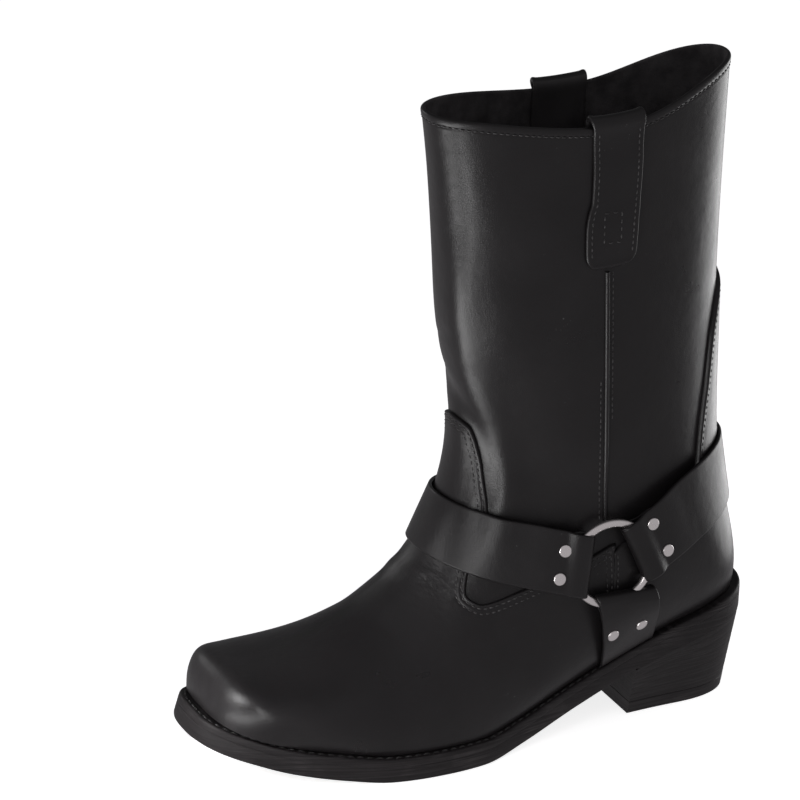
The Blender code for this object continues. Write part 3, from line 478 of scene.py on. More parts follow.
# Soft cards: flat on the floor ahead, left of the instep, far to the right, behind the heel, over the toe
LIGHTS = table(
    "x y z aim_x aim_y aim_z width height radiance spread",
    (560.0, 110.0, 3.0, 560.0, 110.0, 103.0, 340.0, 240.0, 8.5, 180.0),
    (470.0, 278.0, 150.0, 165.0, 30.0, 115.0, 55.0, 265.0, 11.0, 180.0),
    (627.0, -892.0, 382.0, 290.0, -15.0, 40.0, 400.0, 320.0, 1.3, 180.0),
    (-376.0, -104.0, 110.0, 25.0, 10.0, 200.0, 360.0, 320.0, 2.8, 180.0),
    (403.0, 8.0, 126.0, 275.0, 16.0, 50.0, 70.0, 110.0, 1.4, 42.0),
)
WORLD_GREY = (0.36, 0.35, 0.36)
WORLD_DARK = (0.13, 0.13, 0.133)
DARK_TOWARDS = (-0.28, -0.77, 0.574)
DARK_SPAN = (0.3, 0.8)


def natural_spline(knots, values):
    """Smooth curve through the values at the knots, with no bend at its ends."""
    count = len(knots)
    step = np.diff(knots)
    system = np.eye(count)
    bend = np.zeros(count)
    slope = np.diff(values) / step
    for i in range(1, count - 1):
        system[i, i - 1 : i + 2] = step[i - 1], 2 * (step[i - 1] + step[i]), step[i]
        bend[i] = 6 * (slope[i] - slope[i - 1])
    second = np.linalg.solve(system, bend)

    def curve(at):
        at = np.clip(at, knots[0], knots[-1])
        i = np.clip(np.searchsorted(knots, at) - 1, 0, count - 2)
        a = (knots[i + 1] - at) / step[i]
        b = 1 - a
        bow = ((a**3 - a) * second[i] + (b**3 - b) * second[i + 1]) * step[i] ** 2 / 6
        return a * values[i] + b * values[i + 1] + bow

    return curve


def level_spline(knots, values):
    """Curve through the values that never rises past them, so level stretches stay level."""
    step = np.diff(knots)
    slope = np.diff(values) / step
    tangent = np.zeros(len(knots))
    tangent[0] = slope[0]
    tangent[-1] = slope[-1]
    before, after = slope[:-1], slope[1:]
    same = before * after > 0
    tangent[1:-1][same] = 2 * before[same] * after[same] / (before[same] + after[same])

    def curve(at):
        at = np.clip(at, knots[0], knots[-1])
        i = np.clip(np.searchsorted(knots, at) - 1, 0, len(step) - 1)
        t = (at - knots[i]) / step[i]
        rest = 1 - t
        ends = values[i] * rest**2 * (1 + 2 * t) + values[i + 1] * t**2 * (1 + 2 * rest)
        return ends + step[i] * t * rest * (tangent[i] * rest - tangent[i + 1] * t)

    return curve


def smooth_step(x):
    x = np.clip(x, 0.0, 1.0)
    return x * x * (3 - 2 * x)


def bump(x):
    """Soft rounded hill of height 1 and half-width about 1."""
    return np.exp(-x * x)


def rounded(distance, radius):
    """Height, from 0 to 1, of an edge rounded over a radius."""
    share = 1 - np.clip(distance / radius, 0.0, 1.0)
    return np.sqrt(1 - share**2)


def unit(vectors):
    return vectors / np.linalg.norm(vectors, axis=-1, keepdims=True)


def between(first, second, share):
    return first * (1 - share) + second * share


def line_length(points, axis=0):
    """Distance along a line, or along each line of a sheet, at each of its points."""
    steps = np.cumsum(np.linalg.norm(np.diff(points, axis=axis), axis=-1), axis=axis)
    return np.concatenate([np.zeros_like(np.take(steps, [0], axis)), steps], axis)


def read_line(at, place, values):
    """Values of a line at distances along it."""
    return np.stack([np.interp(at, place, column) for column in values.T], -1)


sole_left = natural_spline(SOLE["x"], SOLE["left"])
sole_right = natural_spline(SOLE["x"], SOLE["right"])
sole_under = level_spline(SOLE["x"], SOLE["under"])
back_x = natural_spline(BACK["rise"], BACK["x"])
vamp_row = level_spline(VAMP_EDGE["girth"], VAMP_EDGE["row"])
counter_row = level_spline(COUNTER_EDGE["girth"], COUNTER_EDGE["row"])
last_curves = {
    name: (level_spline if name in LEVEL_COLUMNS else natural_spline)(np.arange(LAST_ROW + 1.0), column)
    for name, column in LAST.items()
}


def welt_top(x):
    return sole_under(x) + OUTSOLE_THICK + WELT_THICK


def sole_edge(t, side):
    """Edge of the sole from the toe's middle (t 0) past toe start (1) and heel start (2) to the heel (3)."""
    toe = np.clip(t, 0, 1) * np.pi / 2
    heel = np.clip(t - 2, 0, 1) * np.pi / 2
    x = TOE_START + (SOLE_TOE - TOE_START) * np.cos(toe) ** (2 / TOE_SQUARE)
    x = np.where(t > 1, TOE_START + (HEEL_START - TOE_START) * (t - 1), x)
    x = np.where(t > 2, HEEL_START + (SOLE_BACK - HEEL_START) * np.sin(heel) ** (2 / HEEL_ROUND), x)
    reach = np.sin(toe) ** (2 / TOE_SQUARE) * np.cos(heel) ** (2 / HEEL_ROUND)
    width = sole_left(x) if side > 0 else sole_right(x)
    return np.stack([x, side * width * reach], -1)


def inset_edge(t, side, amount):
    """The sole's edge moved inwards, square to itself."""
    along = sole_edge(np.minimum(t + SMALL, HEEL_BACK), side) - sole_edge(np.maximum(t - SMALL, 0), side)
    along = unit(along)
    inward = side * np.stack([-along[..., 1], along[..., 0]], -1)
    return sole_edge(t, side) + inward * np.asarray(amount)[..., None]


def toe_flare(t, height):
    """Inset of the sole's edge at a height over its underside: it leans back at the toe."""
    return (TOE_LEAN * height - TOE_FLARE) * (1 - smooth_step(t))


def margin(t):
    start, end = HEEL_MARGIN_T
    return WELT_MARGIN + (HEEL_MARGIN - WELT_MARGIN) * smooth_step((t - start) / (end - start))


def low_point(low, side):
    """Point of the feather line, or of the line up the back once low passes the heel."""
    t = np.minimum(low, HEEL_BACK)
    edge = inset_edge(t, side, margin(t))
    rise = np.maximum(low - HEEL_BACK, 0) * RISE_PER_LOW
    x = np.where(low > HEEL_BACK, back_x(rise), edge[..., 0])
    y = np.where(low < HEEL_BACK, edge[..., 1], 0.0)
    return np.stack([x, y, welt_top(edge[..., 0]) + UPPER_GAP + rise], -1)


def over_feather(x, low, side):
    """Half-width of the feather line at x, moved along with the back once low has passed the heel."""
    t = np.linspace(HEEL_BACK, 1.0, FEATHER_STEPS)
    line = low_point(t, side)
    back = low_point(np.array(max(low, HEEL_BACK)), side)[0]
    return np.interp(x - back + line[0, 0], line[:, 0], np.abs(line[:, 1]))


def section(v, side):
    """Half of the last's section at row v, from its front or top line to the feather or back line."""
    row = {name: curve(v) for name, curve in last_curves.items()}
    low = low_point(row["low"], side)
    inner = abs(low[1])
    width = max(row["left"] if side > 0 else row["right"], inner)
    angle = np.linspace(0.0, np.pi / 2, SECTION_STEPS)
    top = 2 / row["top_round"]
    widest = max(row["widest"], 0.0)
    below = 1 - np.sin(angle[1:])
    seat = over_feather(low[0] + widest * below * (row["front_x"] - low[0]), row["low"], side)
    over_sole = width - (width - seat) * (1 - below) ** 2
    oval = inner + (width - inner) * (1 - (1 - below) ** row["low_round"]) ** (1 / row["low_round"])
    shaft = smooth_step((v - CLOSING_ROW) / SHAFT_BLEND)
    rise = np.concatenate([widest + (1 - widest) * np.cos(angle) ** top, widest * below])
    out = np.concatenate([width * np.sin(angle) ** top, over_sole + (oval - over_sole) * shaft])
    x = low[0] + rise * (row["front_x"] - low[0])
    z = low[2] + rise * (row["front_z"] - low[2])
    curve = np.stack([x, side * out + row["lean"] * rise, z], -1)
    length = line_length(curve)
    return read_line(np.abs(GRID_U[GRID_U * side >= 0]) * length[-1], length, curve)


def grid_normals(points, edge):
    """Outward normals of the last's grid, level along the feather line."""
    row = np.broadcast_to(GRID_V[:, None], edge.shape)
    normals = np.cross(np.gradient(points, axis=1), np.gradient(points, axis=0))
    closed = GRID_V >= CLOSING_ROW
    seam = normals[closed, 0] + normals[closed, -1]
    normals[closed, 0] = seam
    normals[closed, -1] = seam
    flat = np.maximum(edge * smooth_step(CLOSING_ROW - row), smooth_step(1 - row))
    normals = unit(normals)
    normals[..., 2] *= 1 - flat
    return unit(normals)


def line_distance(points, line):
    """Distance from each point to a polyline, and the share of its length at the nearest place."""
    start = line_length(line)
    start = start / start[-1]
    best = np.full(points.shape[:-1], np.inf)
    share = np.zeros(points.shape[:-1])
    for k in range(len(line) - 1):
        along = line[k + 1] - line[k]
        t = np.clip((points - line[k]) @ along / (along @ along), 0, 1)
        away = np.linalg.norm(points - line[k] - t[..., None] * along, axis=-1)
        nearer = away < best
        best = np.where(nearer, away, best)
        share = np.where(nearer, start[k] + t * (start[k + 1] - start[k]), share)
    return best, share


def smooth_line(knots, steps):
    """Dense smooth curve through a few points."""
    knots = np.array(knots)
    length = line_length(knots)
    at = np.linspace(0, length[-1], steps)
    return np.stack([natural_spline(length, column)(at) for column in knots.T], -1)


def creased(points, normals):
    """The last's grid with the soft troughs and ridges of worn leather."""
    rise = np.zeros(points.shape[:-1])
    for height, width, knots in CREASES:
        girth, row = smooth_line(knots, CREASE_STEPS * len(knots)).T
        away, share = line_distance(points, plain_read(points, girth, row))
        ends = smooth_step(share / CREASE_TAPER) * smooth_step((1 - share) / CREASE_TAPER)
        rise += height * bump(away / width) * ends
    return points + rise[..., None] * normals


def last_grid():
    """Points of the last's surface and its outward normals on an even grid of rows and girth."""
    points = np.array([np.concatenate([section(v, -1)[:-1], section(v, 1)]) for v in GRID_V])
    girth, row = np.meshgrid(np.abs(GRID_U), GRID_V)
    edge = smooth_step((girth - FEATHER_FROM) / (1 - FEATHER_FROM)) * smooth_step(CLOSING_ROW + 1 - row)
    for _ in range(SMOOTH_PASSES):
        middle = (points[:-2] + 2 * points[1:-1] + points[2:]) / 4
        points[1:-1] += (middle - points[1:-1]) * (1 - edge[1:-1, :, None])
    points = creased(points, grid_normals(points, edge))
    return points, grid_normals(points, edge)


def plain_read(grid, u, v):
    """Value of a grid at the node nearest to girth u and row v."""
    line = np.rint(np.clip(v / GRID_V[-1], 0, 1) * (len(GRID_V) - 1)).astype(int)
    column = np.rint(np.clip((u + 1) / 2, 0, 1) * (len(GRID_U) - 1)).astype(int)
    return grid[line, column]


def cubic_weights(t):
    return (
        ((2 - t) * t - 1) * t / 2,
        ((3 * t - 5) * t * t + 2) / 2,
        ((4 - 3 * t) * t + 1) * t / 2,
        (t - 1) * t * t / 2,
    )


def read_grid(grid, u, v):
    """Smooth value of a grid at girth u (0 at the front line, 1 at the left low edge) and row v."""
    u, v = np.broadcast_arrays(u, v)
    column = np.clip((u + 1) / 2, 0, 1) * (len(GRID_U) - 1)
    line = np.clip(v / GRID_V[-1], 0, 1) * (len(GRID_V) - 1)
    i = np.minimum(line.astype(int), len(GRID_V) - 2)
    j = np.minimum(column.astype(int), len(GRID_U) - 2)
    along, across = cubic_weights(line - i), cubic_weights(column - j)
    value = 0.0
    for m in range(4):
        row = np.clip(i + m - 1, 0, len(GRID_V) - 1)
        for n in range(4):
            cell = np.clip(j + n - 1, 0, len(GRID_U) - 1)
            value = value + (along[m] * across[n])[..., None] * grid[row, cell]
    return value


def on_last(u, v, out=0.0):
    """Point on the last's surface, moved outwards along its normal."""
    return read_grid(last_points, u, v) + np.asarray(out)[..., None] * read_grid(last_normals, u, v)


def slopes(u, v):
    """How the points of the last move by girth and by row."""
    by_u = (on_last(u + SMALL, v) - on_last(u - SMALL, v)) / (2 * SMALL)
    by_v = (on_last(u, v + SMALL) - on_last(u, v - SMALL)) / (2 * SMALL)
    return by_u, by_v


def row_length(u, v):
    """Millimetres to a row at a place on the last."""
    return np.linalg.norm(on_last(u, v) - on_last(u, v - ROW_STEP), axis=-1) / ROW_STEP


def collar(u):
    """Row of the collar's edge: highest at the back, lowest at the sides."""
    back = COLLAR_BACK_RISE * smooth_step((np.abs(u) - COLLAR_BACK_FROM) / (1 - COLLAR_BACK_FROM))
    return COLLAR_ROW - COLLAR_DIP * np.sin(np.pi * np.abs(u)) ** 2 + back


def at_side(x, z, side):
    """Girth and row of the points of one side of the last at a place in side view."""
    u, v = (grid.ravel() for grid in np.meshgrid(SEARCH_U * side, SEARCH_V))
    seen = on_last(u, v)[:, (0, 2)]
    wanted = np.stack(np.broadcast_arrays(x, z), -1)
    flat = wanted.reshape(-1, 2)
    best = np.array([((seen - point) ** 2).sum(1).argmin() for point in flat])
    u, v = u[best], v[best]
    for _ in range(SEARCH_ROUNDS):
        by_u, by_v = (slope[:, (0, 2)] for slope in slopes(u, v))
        miss = flat - on_last(u, v)[:, (0, 2)]
        det = by_u[:, 0] * by_v[:, 1] - by_u[:, 1] * by_v[:, 0]
        det = np.where(np.abs(det) < LEAST_AREA, LEAST_AREA, det)
        u = u + (miss[:, 0] * by_v[:, 1] - miss[:, 1] * by_v[:, 0]) / det
        v = v + (by_u[:, 0] * miss[:, 1] - by_u[:, 1] * miss[:, 0]) / det
        u = np.clip(u * side, 0.0, 1.0) * side
        v = np.clip(v, 0.0, GRID_V[-1])
    shape = wanted.shape[:-1]
    return u.reshape(shape), v.reshape(shape)


def to_metres(points):
    return (np.asarray(points) - (FRAME_X, FRAME_Y, 0.0)) * MM


def grid_quads(index):
    """Quads over a table of point numbers."""
    corners = index[:-1, :-1], index[:-1, 1:], index[1:, 1:], index[1:, :-1]
    return np.stack(corners, -1).reshape(-1, 4)


def sheet_of(points):
    """Flat list of a grid's points, and its quads."""
    return points.reshape(-1, 3), grid_quads(np.arange(points[..., 0].size).reshape(points.shape[:2]))


def joined(*sheets):
    """Several lists of points and quads as one."""
    points, faces, start = [], [], 0
    for more, quads in sheets:
        points.append(more)
        faces.append(np.asarray(quads) + start)
        start += len(more)
    return np.concatenate(points), np.concatenate(faces)


def new_piece(name, sheet, materials, nodes=(), kinds=None, sharp=None):
    """A named piece that rides the boot's body, stands for its solids and takes the given materials."""
    points, faces = sheet
    mesh = bpy.data.meshes.new(name)
    mesh.from_pydata(to_metres(points).tolist(), [], [list(map(int, face)) for face in faces])
    if kinds is not None:
        mesh.polygons.foreach_set("material_index", np.asarray(kinds, dtype=np.int32))
    work = bmesh.new()
    work.from_mesh(mesh)
    bmesh.ops.remove_doubles(work, verts=work.verts, dist=MERGE)
    bmesh.ops.recalc_face_normals(work, faces=work.faces)
    work.to_mesh(mesh)
    work.free()
    mesh.polygons.foreach_set("use_smooth", np.ones(len(mesh.polygons), dtype=bool))
    if sharp is not None:
        mesh.set_sharp_from_angle(angle=sharp)
    for made in materials:
        mesh.materials.append(made)
    piece = bpy.data.objects.new(name, mesh)
    bpy.context.scene.collection.objects.link(piece)
    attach(piece, "root")
    if nodes:
        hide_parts(*nodes)
    return piece


def edge_path(girth, row, out):
    """Points, outward normals and inward directions along an edge on the last, the piece on its left."""
    points = on_last(girth, row, np.full(girth.shape, out))
    normals = unit(read_grid(last_normals, girth, row))
    along = unit(np.gradient(points, axis=0))
    return points, normals, unit(np.cross(normals, along))


def shifted(girth, row, amount):
    """Girth and row of a line on the last moved by millimetres to its left, as seen from outside."""
    _, _, inward = edge_path(girth, row, 0.0)
    by_u, by_v = slopes(girth, row)
    uu, uv, vv = ((a * b).sum(-1) for a, b in ((by_u, by_u), (by_u, by_v), (by_v, by_v)))
    to_u, to_v = ((inward * amount * step).sum(-1) for step in (by_u, by_v))
    det = uu * vv - uv * uv
    return girth + (to_u * vv - to_v * uv) / det, row + (to_v * uu - to_u * uv) / det


def stitch_run(points, normals, size):
    """Points and quads of a row of stitches laid along a line."""
    length, gap, radius = size
    place = line_length(points)
    count = max(int(place[-1] // (length + gap)), 1)
    start = np.arange(count) * place[-1] / count
    share = np.linspace(0, 1, STITCH_RINGS)
    at = start[:, None] + share * length
    middle = read_line(at, place, points)
    up = unit(read_line(at, place, normals))
    along = unit(middle[:, -1:] - middle[:, :1])
    across = unit(np.cross(up, along))
    full = np.sin(np.pi * np.clip(share, STITCH_END, 1 - STITCH_END)) ** STITCH_SWELL
    middle = middle + up * (radius * (full - STITCH_SINK))[:, None]
    turn = np.arange(STITCH_TURNS + 1) * 2 * np.pi / STITCH_TURNS
    wide = (radius * full)[None, :, None, None]
    ring = across[:, :, None] * np.cos(turn)[:, None] + up[:, :, None] * np.sin(turn)[:, None]
    rings = middle[:, :, None] + wide * ring
    index = np.arange(rings[..., 0].size).reshape(rings.shape[:3])
    quads = np.concatenate([grid_quads(one) for one in index])
    return rings.reshape(-1, 3), quads


def stitch_row(girth, row, out, size):
    """Stitches along a line given by girth and row, lying on a surface."""
    points, normals, _ = edge_path(girth, row, out)
    return stitch_run(points, normals, size)


def groove(distance, places):
    """Shallow channels pulled in by stitch rows at distances from an edge."""
    return sum(-STITCH_GROOVE * bump((distance - place) / GROOVE_WIDTH) for place in places)


def build_upper():
    """Hollow shell, lined, with a rolled bead round its collar."""
    girth = np.linspace(-1, 1, UPPER_COLUMNS)
    top = collar(girth)
    deep = RIM_DEPTH * np.linspace(1, 0, RIM_ROWS) ** GATHER
    v_rim = top - deep[:, None] / row_length(girth, top)
    v_low = np.linspace(0, 1, UPPER_ROWS, endpoint=False)[:, None] * v_rim[0]
    v = np.concatenate([v_low, v_rim])
    u = np.broadcast_to(girth, v.shape)
    depth = np.concatenate([np.full(UPPER_ROWS, 2 * RIM_DEPTH), deep])
    rim = (1 - rounded(depth, WALL / 2)) * WALL / 2
    bead = COLLAR_BEAD * bump((depth - COLLAR_BEAD_AT) / COLLAR_BEAD_AT) * (depth < 2 * RIM_DEPTH)
    out = bead - rim + groove(depth, (COLLAR_STITCH,))
    outer = on_last(u, v, np.broadcast_to(out[:, None], v.shape))
    inner = on_last(u, v, np.broadcast_to((rim - WALL)[:, None], v.shape))
    shell = joined(sheet_of(outer), sheet_of(inner))
    kinds = np.repeat([0, 1], len(shell[1]) // 2)
    new_piece("boot_upper", shell, (leather, lining), ("upper",), kinds)
    at = np.linspace(-1, 1, COLLAR_LINE_STEPS)
    row = collar(at) - COLLAR_STITCH / row_length(at, collar(at))
    return stitch_row(at, row, 0.0, FINE_STITCH)


def overlay_height(points, edges, thick, rows):
    """Rise of an overlay over the last: thick, rounded off along its edges, dented by stitch rows."""
    away = np.min([line_distance(points, edge)[0] for edge in edges], axis=0)
    rise = -EDGE_SINK + (thick + EDGE_SINK) * rounded(away, EDGE_ROUND)
    return rise + groove(away, rows)


def build_vamp():
    """Overlay over toe and instep, with two stitch rows along its edge."""
    girth = np.linspace(-1, 1, VAMP_COLUMNS)
    edge = vamp_row(np.abs(girth))
    near = edge - EDGE_STEPS[:, None] / row_length(girth, edge)
    far = np.linspace(1, 0, VAMP_ROWS + 1)[1:, None] * near[-1]
    v = np.concatenate([near, far])
    u = np.broadcast_to(girth, v.shape)
    plain = on_last(u, v)
    rise = np.full(v.shape, VAMP_THICK)
    rise[:EDGE_ROWS] = overlay_height(plain[:EDGE_ROWS], [plain[0]], VAMP_THICK, VAMP_STITCH)
    new_piece("boot_vamp", sheet_of(on_last(u, v, rise)), (leather,), ("vamp",))
    runs = []
    at = np.linspace(1, -1, VAMP_LINE_STEPS)
    for inset in VAMP_STITCH:
        line_u, line_v = shifted(at, vamp_row(np.abs(at)), inset)
        kept = line_v < vamp_row(np.abs(line_u)) - STITCH_CLEAR * inset / row_length(line_u, line_v)
        runs.append(stitch_row(line_u[kept], line_v[kept], VAMP_THICK - STITCH_GROOVE, FINE_STITCH))
    return runs


def build_counter():
    """Overlay round the heel, with a tall stay up the back."""
    half = np.linspace(COUNTER_EDGE["girth"][0], 1.0, COUNTER_COLUMNS)
    seam = vamp_row(half) - COUNTER_LAP
    top = counter_row(half)
    scale = row_length(half, top) * (top - seam)
    near = np.minimum(EDGE_STEPS[:, None] / scale, COUNTER_EDGE_SHARE * EDGE_STEPS[:, None] / EDGE_STEPS[-1])
    middle = near[-1] + np.linspace(0, 1, COUNTER_ROWS)[1:-1, None] * (1 - 2 * near[-1])
    share = np.concatenate([near, middle, 1 - near[::-1]])
    halves, runs = [], []
    for side, _ in SIDES:
        v = seam + share * (top - seam)
        u = np.broadcast_to(half * side, v.shape)
        plain = on_last(u, v)
        rise = overlay_height(plain, [plain[0], plain[:, 0], plain[-1]], COUNTER_THICK, COUNTER_STITCH)
        halves.append(sheet_of(on_last(u, v, rise)))
        for row, way in ((top, 1), (seam, -1)):
            line_u, line_v = shifted(half[::-1] * side, row[::-1], side * way * COUNTER_STITCH[0])
            runs.append(stitch_row(line_u, line_v, COUNTER_THICK - STITCH_GROOVE, FINE_STITCH))
    new_piece("boot_heel_counter", joined(*halves), (leather,), ("heel_counter",))
    return runs


def across_places(width):
    """Distances across a strip of this width, gathered at its two edges."""
    ends = ACROSS_STEPS
    middle = np.linspace(ends[-1], width - ends[-1], ACROSS_MIDDLE)[1:-1]
    return np.concatenate([ends, middle, width - ends[::-1]])


def band(middle, half, binding=0.0):
    """Points and quads of a strip of even thickness about its middle sheet, rounded along its edges."""
    normals = unit(np.cross(np.gradient(middle, axis=0), np.gradient(middle, axis=1)))
    away = edge_distance(middle)
    bound = binding * bump((away - BINDING_WIDTH / 2) / (BINDING_WIDTH / 2))
    shift = ((half + bound) * rounded(away, STRAP_ROUND))[..., None] * normals
    return joined(sheet_of(middle + shift), sheet_of(middle - shift))


def ring_frame(side):
    """Centre and outward axis of the ring on one side."""
    u, v = at_side(RING_X, RING_Z, side)
    return on_last(u, v, RING_OUT), unit(read_grid(last_normals, u, v))


def ring_lift(points, reach, side):
    """How far a strap stands off the boot on its way out to a ring, and its distance from the ring."""
    centre, axis = ring_frames[side]
    rise = (points - centre) @ axis
    away = np.linalg.norm(points - centre - rise[..., None] * axis, axis=-1)
    return STAND_OFF * (1 - smooth_step((away - reach[0]) / (reach[1] - reach[0]))), away


def over_ring(points, at, hump, side):
    """A strap's middle sheet, raised over the ring's wire beside its fold."""
    centre, axis = ring_frames[side]
    rise = (points - centre) @ axis
    near = 1 - smooth_step((at - hump[0]) / (hump[1] - hump[0]))
    lift = np.maximum(WIRE_RADIUS + SEAT_GAP + STRAP_HALF - rise, 0)
    top = np.array([np.interp(hump[0], one[::-1], up[::-1]) for one, up in zip(at, lift)])
    lift = np.where(at > hump[0], np.minimum(lift, top[:, None]), lift)
    return points + (lift * near)[..., None] * axis


def strap_line(edges, fold, turn, end, across, side):
    """Girth and row along a strap at a share of its width: by x up to its turn, then by girth to its end."""
    height = edges["bottom"] + across * (edges["top"] - edges["bottom"])
    height = natural_spline(edges["x"], height)
    x = np.linspace(fold[0] + across * (fold[1] - fold[0]), turn, SIDE_STEPS)
    u, v = at_side(x, height(x), side)
    girth = np.linspace(abs(u[-1]), end, SIDE_STEPS)[1:]
    place = on_last(girth[:, None] * side, SEARCH_V[None, :])
    above = place[..., 2] - height(place[..., 0])
    line = np.arange(len(girth))
    first = np.argmax(above > 0, axis=1)
    part = above[line, first - 1] / (above[line, first - 1] - above[line, first])
    rows = SEARCH_V[first - 1] + part * (SEARCH_V[1] - SEARCH_V[0])
    return np.concatenate([u, girth * side]), np.concatenate([v, rows])


def strap_lines(edges, fold, turn, end, side, shares):
    """Girth and row of dense lines along a strap half, from its fold to its middle."""
    girth, row = [], []
    for across in shares:
        u, v = strap_line(edges, fold, turn, end, across, side)
        length = line_length(on_last(u, v))
        at = length[-1] * np.linspace(0, 1, LINE_STEPS)
        girth.append(np.interp(at, length, u))
        row.append(np.interp(at, length, v))
    return np.array(girth), np.array(row)


def folded_half(girth, row, side, reach, stand, hump):
    """Middle sheet and thinness of a strap half: outer layer, roll round the wire, skived end inside."""
    lines = on_last(girth, row, np.full(girth.shape, STRAP_LIE))
    place = line_length(lines, 1)

    def lying(at, lift):
        u = np.array([np.interp(at[k], place[k], girth[k]) for k in range(len(at))])
        v = np.array([np.interp(at[k], place[k], row[k]) for k in range(len(at))])
        return on_last(u, v, STRAP_LIE + lift), unit(read_grid(last_normals, u, v))

    share = np.linspace(1, 0, OUTER_STEPS) ** GATHER
    at = FOLD_REACH + share * (place[:, -1:] - FOLD_REACH)
    lift = LAYER_RISE * (1 - smooth_step((at - reach) / RETURN_BLEND))
    outer, normal = lying(at, lift)
    across = line_length(outer)
    straight = between(outer[:1], outer[-1:], (across / across[-1])[..., None])
    hollow = np.maximum(((straight - outer) * normal).sum(-1), 0)
    outer = outer + hollow[..., None] * normal
    axis = ring_frames[side][1]
    outer = over_ring(outer + ring_lift(outer, stand, side)[0][..., None] * axis, at, hump, side)
    back = np.linspace(FOLD_REACH, reach, RETURN_STEPS)
    skived = 1 + (RETURN_THIN - 1) * smooth_step((back - FOLD_REACH) / THIN_REACH)
    inner, _ = lying(np.broadcast_to(back, (len(at), RETURN_STEPS)), STRAP_HALF * (skived - 1))
    lift, away = ring_lift(inner, stand, side)
    lift = lift * smooth_step((away - FOLD_END[0]) / (FOLD_END[1] - FOLD_END[0]))
    inner = inner + lift[..., None] * axis
    narrow = RETURN_NARROW * smooth_step((back - FOLD_REACH) / THIN_REACH)
    inner = inner + (inner.mean(axis=0) - inner) * narrow[:, None]
    towards, _ = lying(np.zeros((len(at), 1)), 0.0)
    towards = unit(towards - inner[:, :1])
    centre = (outer[:, -1:] + inner[:, :1]) / 2
    arm = outer[:, -1:] - centre
    turn = np.linspace(0, np.pi, ROLL_STEPS + 2)[1:-1, None]
    roll = centre + np.cos(turn) * arm + np.sin(turn) * np.linalg.norm(arm, axis=-1, keepdims=True) * towards
    thin = np.concatenate([np.ones(OUTER_STEPS + ROLL_STEPS), skived])
    return np.concatenate([outer, roll, inner], 1).transpose(1, 0, 2), thin[:, None]


def edge_distance(sheet):
    """Distance of a strip's points from its edges and ends."""
    away = []
    for axis in (0, 1):
        along = line_length(sheet, axis)
        away += [along, np.take(along, [-1], axis) - along]
    return np.min(away, axis=0)


def build_strap(name, edges, fold, turn, end):
    """A strap from ring to ring; its two ends fold round the wires."""
    width = np.interp(fold[0], edges["x"], edges["top"] - edges["bottom"])
    shares = across_places(width) / width
    halves = []
    for side, _ in SIDES:
        girth, row = strap_lines(edges, fold, turn, end, side, shares)
        halves.append(folded_half(girth, row, side, RETURN_REACH, STAND_REACH, HUMP))
    sheet, thin = (np.concatenate([one[::-1], other[1:]]) for one, other in zip(*halves))
    strip = band(sheet, STRAP_HALF * thin)
    new_piece("boot_" + name, strip, (strap_leather,), (name,))
    return {side: half[:OUTER_STEPS] for (side, _), (half, _) in zip(SIDES, halves)}


def build_sole_strap(side, word):
    """Short strap from the ring down to the welt."""
    width = SOLE_STRAP_TOP[1] - SOLE_STRAP_TOP[0]
    shares = (across_places(width) / width)[:, None]
    down = np.linspace(0, 1, SOLE_LINE_STEPS)
    top_x = SOLE_STRAP_TOP[0] + shares * width
    low_x = SOLE_STRAP_LOW[0] + shares * (SOLE_STRAP_LOW[1] - SOLE_STRAP_LOW[0])
    low_z = welt_top(low_x) + STRAP_FOOT_GAP
    x = top_x + down * (low_x - top_x)
    z = SOLE_STRAP_TOP_Z + down * (low_z - SOLE_STRAP_TOP_Z)
    girth, row = at_side(x, z, side)
    half, thin = folded_half(girth, row, side, SOLE_RETURN_REACH, SOLE_STAND_REACH, SOLE_HUMP)
    name = "sole_strap_" + word
    new_piece("boot_" + name, band(half, STRAP_HALF * thin), (strap_leather,), (name,))
    return half[:OUTER_STEPS]


def square_pair(axis):
    """Two directions square to an axis and to each other."""
    across = unit(np.cross((0.0, 0.0, 1.0), axis))
    return across, np.cross(axis, across)


def build_ring(side, word):
    """Round wire ring."""
    centre, axis = ring_frames[side]
    across, up = square_pair(axis)
    round_ring, round_wire = (np.linspace(0, 2 * np.pi, turns) for turns in (RING_TURNS, WIRE_TURNS))
    turn, roll = np.meshgrid(round_ring, round_wire, indexing="ij")
    reach = RING_RADIUS + WIRE_RADIUS * np.cos(roll)
    points = (
        centre + (reach * np.cos(turn))[..., None] * across + (reach * np.sin(turn))[..., None] * up
        + (WIRE_RADIUS * np.sin(roll))[..., None] * axis
    )
    new_piece("boot_ring_" + word, sheet_of(points), (nickel,), ("ring_" + word,))


def rivet_cap(sheet, x, z):
    """Flat-domed cap on a strap's outer layer at a place in side view."""
    normals = unit(np.cross(np.gradient(sheet, axis=0), np.gradient(sheet, axis=1)))
    away = (sheet[..., 0] - x) ** 2 + (sheet[..., 2] - z) ** 2
    place = np.unravel_index(away.argmin(), away.shape)
    axis = normals[place]
    axis = axis * np.sign(axis @ (sheet[place] - (RING_X, 0.0, RING_Z)))
    across, up = square_pair(axis)
    seat = sheet[place] + axis * (STRAP_HALF - RIVET_SINK)
    reach, rise = CAP_PROFILE["reach"] * RIVET_RADIUS, CAP_PROFILE["rise"] * RIVET_RISE
    turn = np.linspace(0, 2 * np.pi, CAP_TURNS)
    ring = np.cos(turn)[:, None] * across + np.sin(turn)[:, None] * up
    return sheet_of(seat + reach[:, None, None] * ring + rise[:, None, None] * axis)


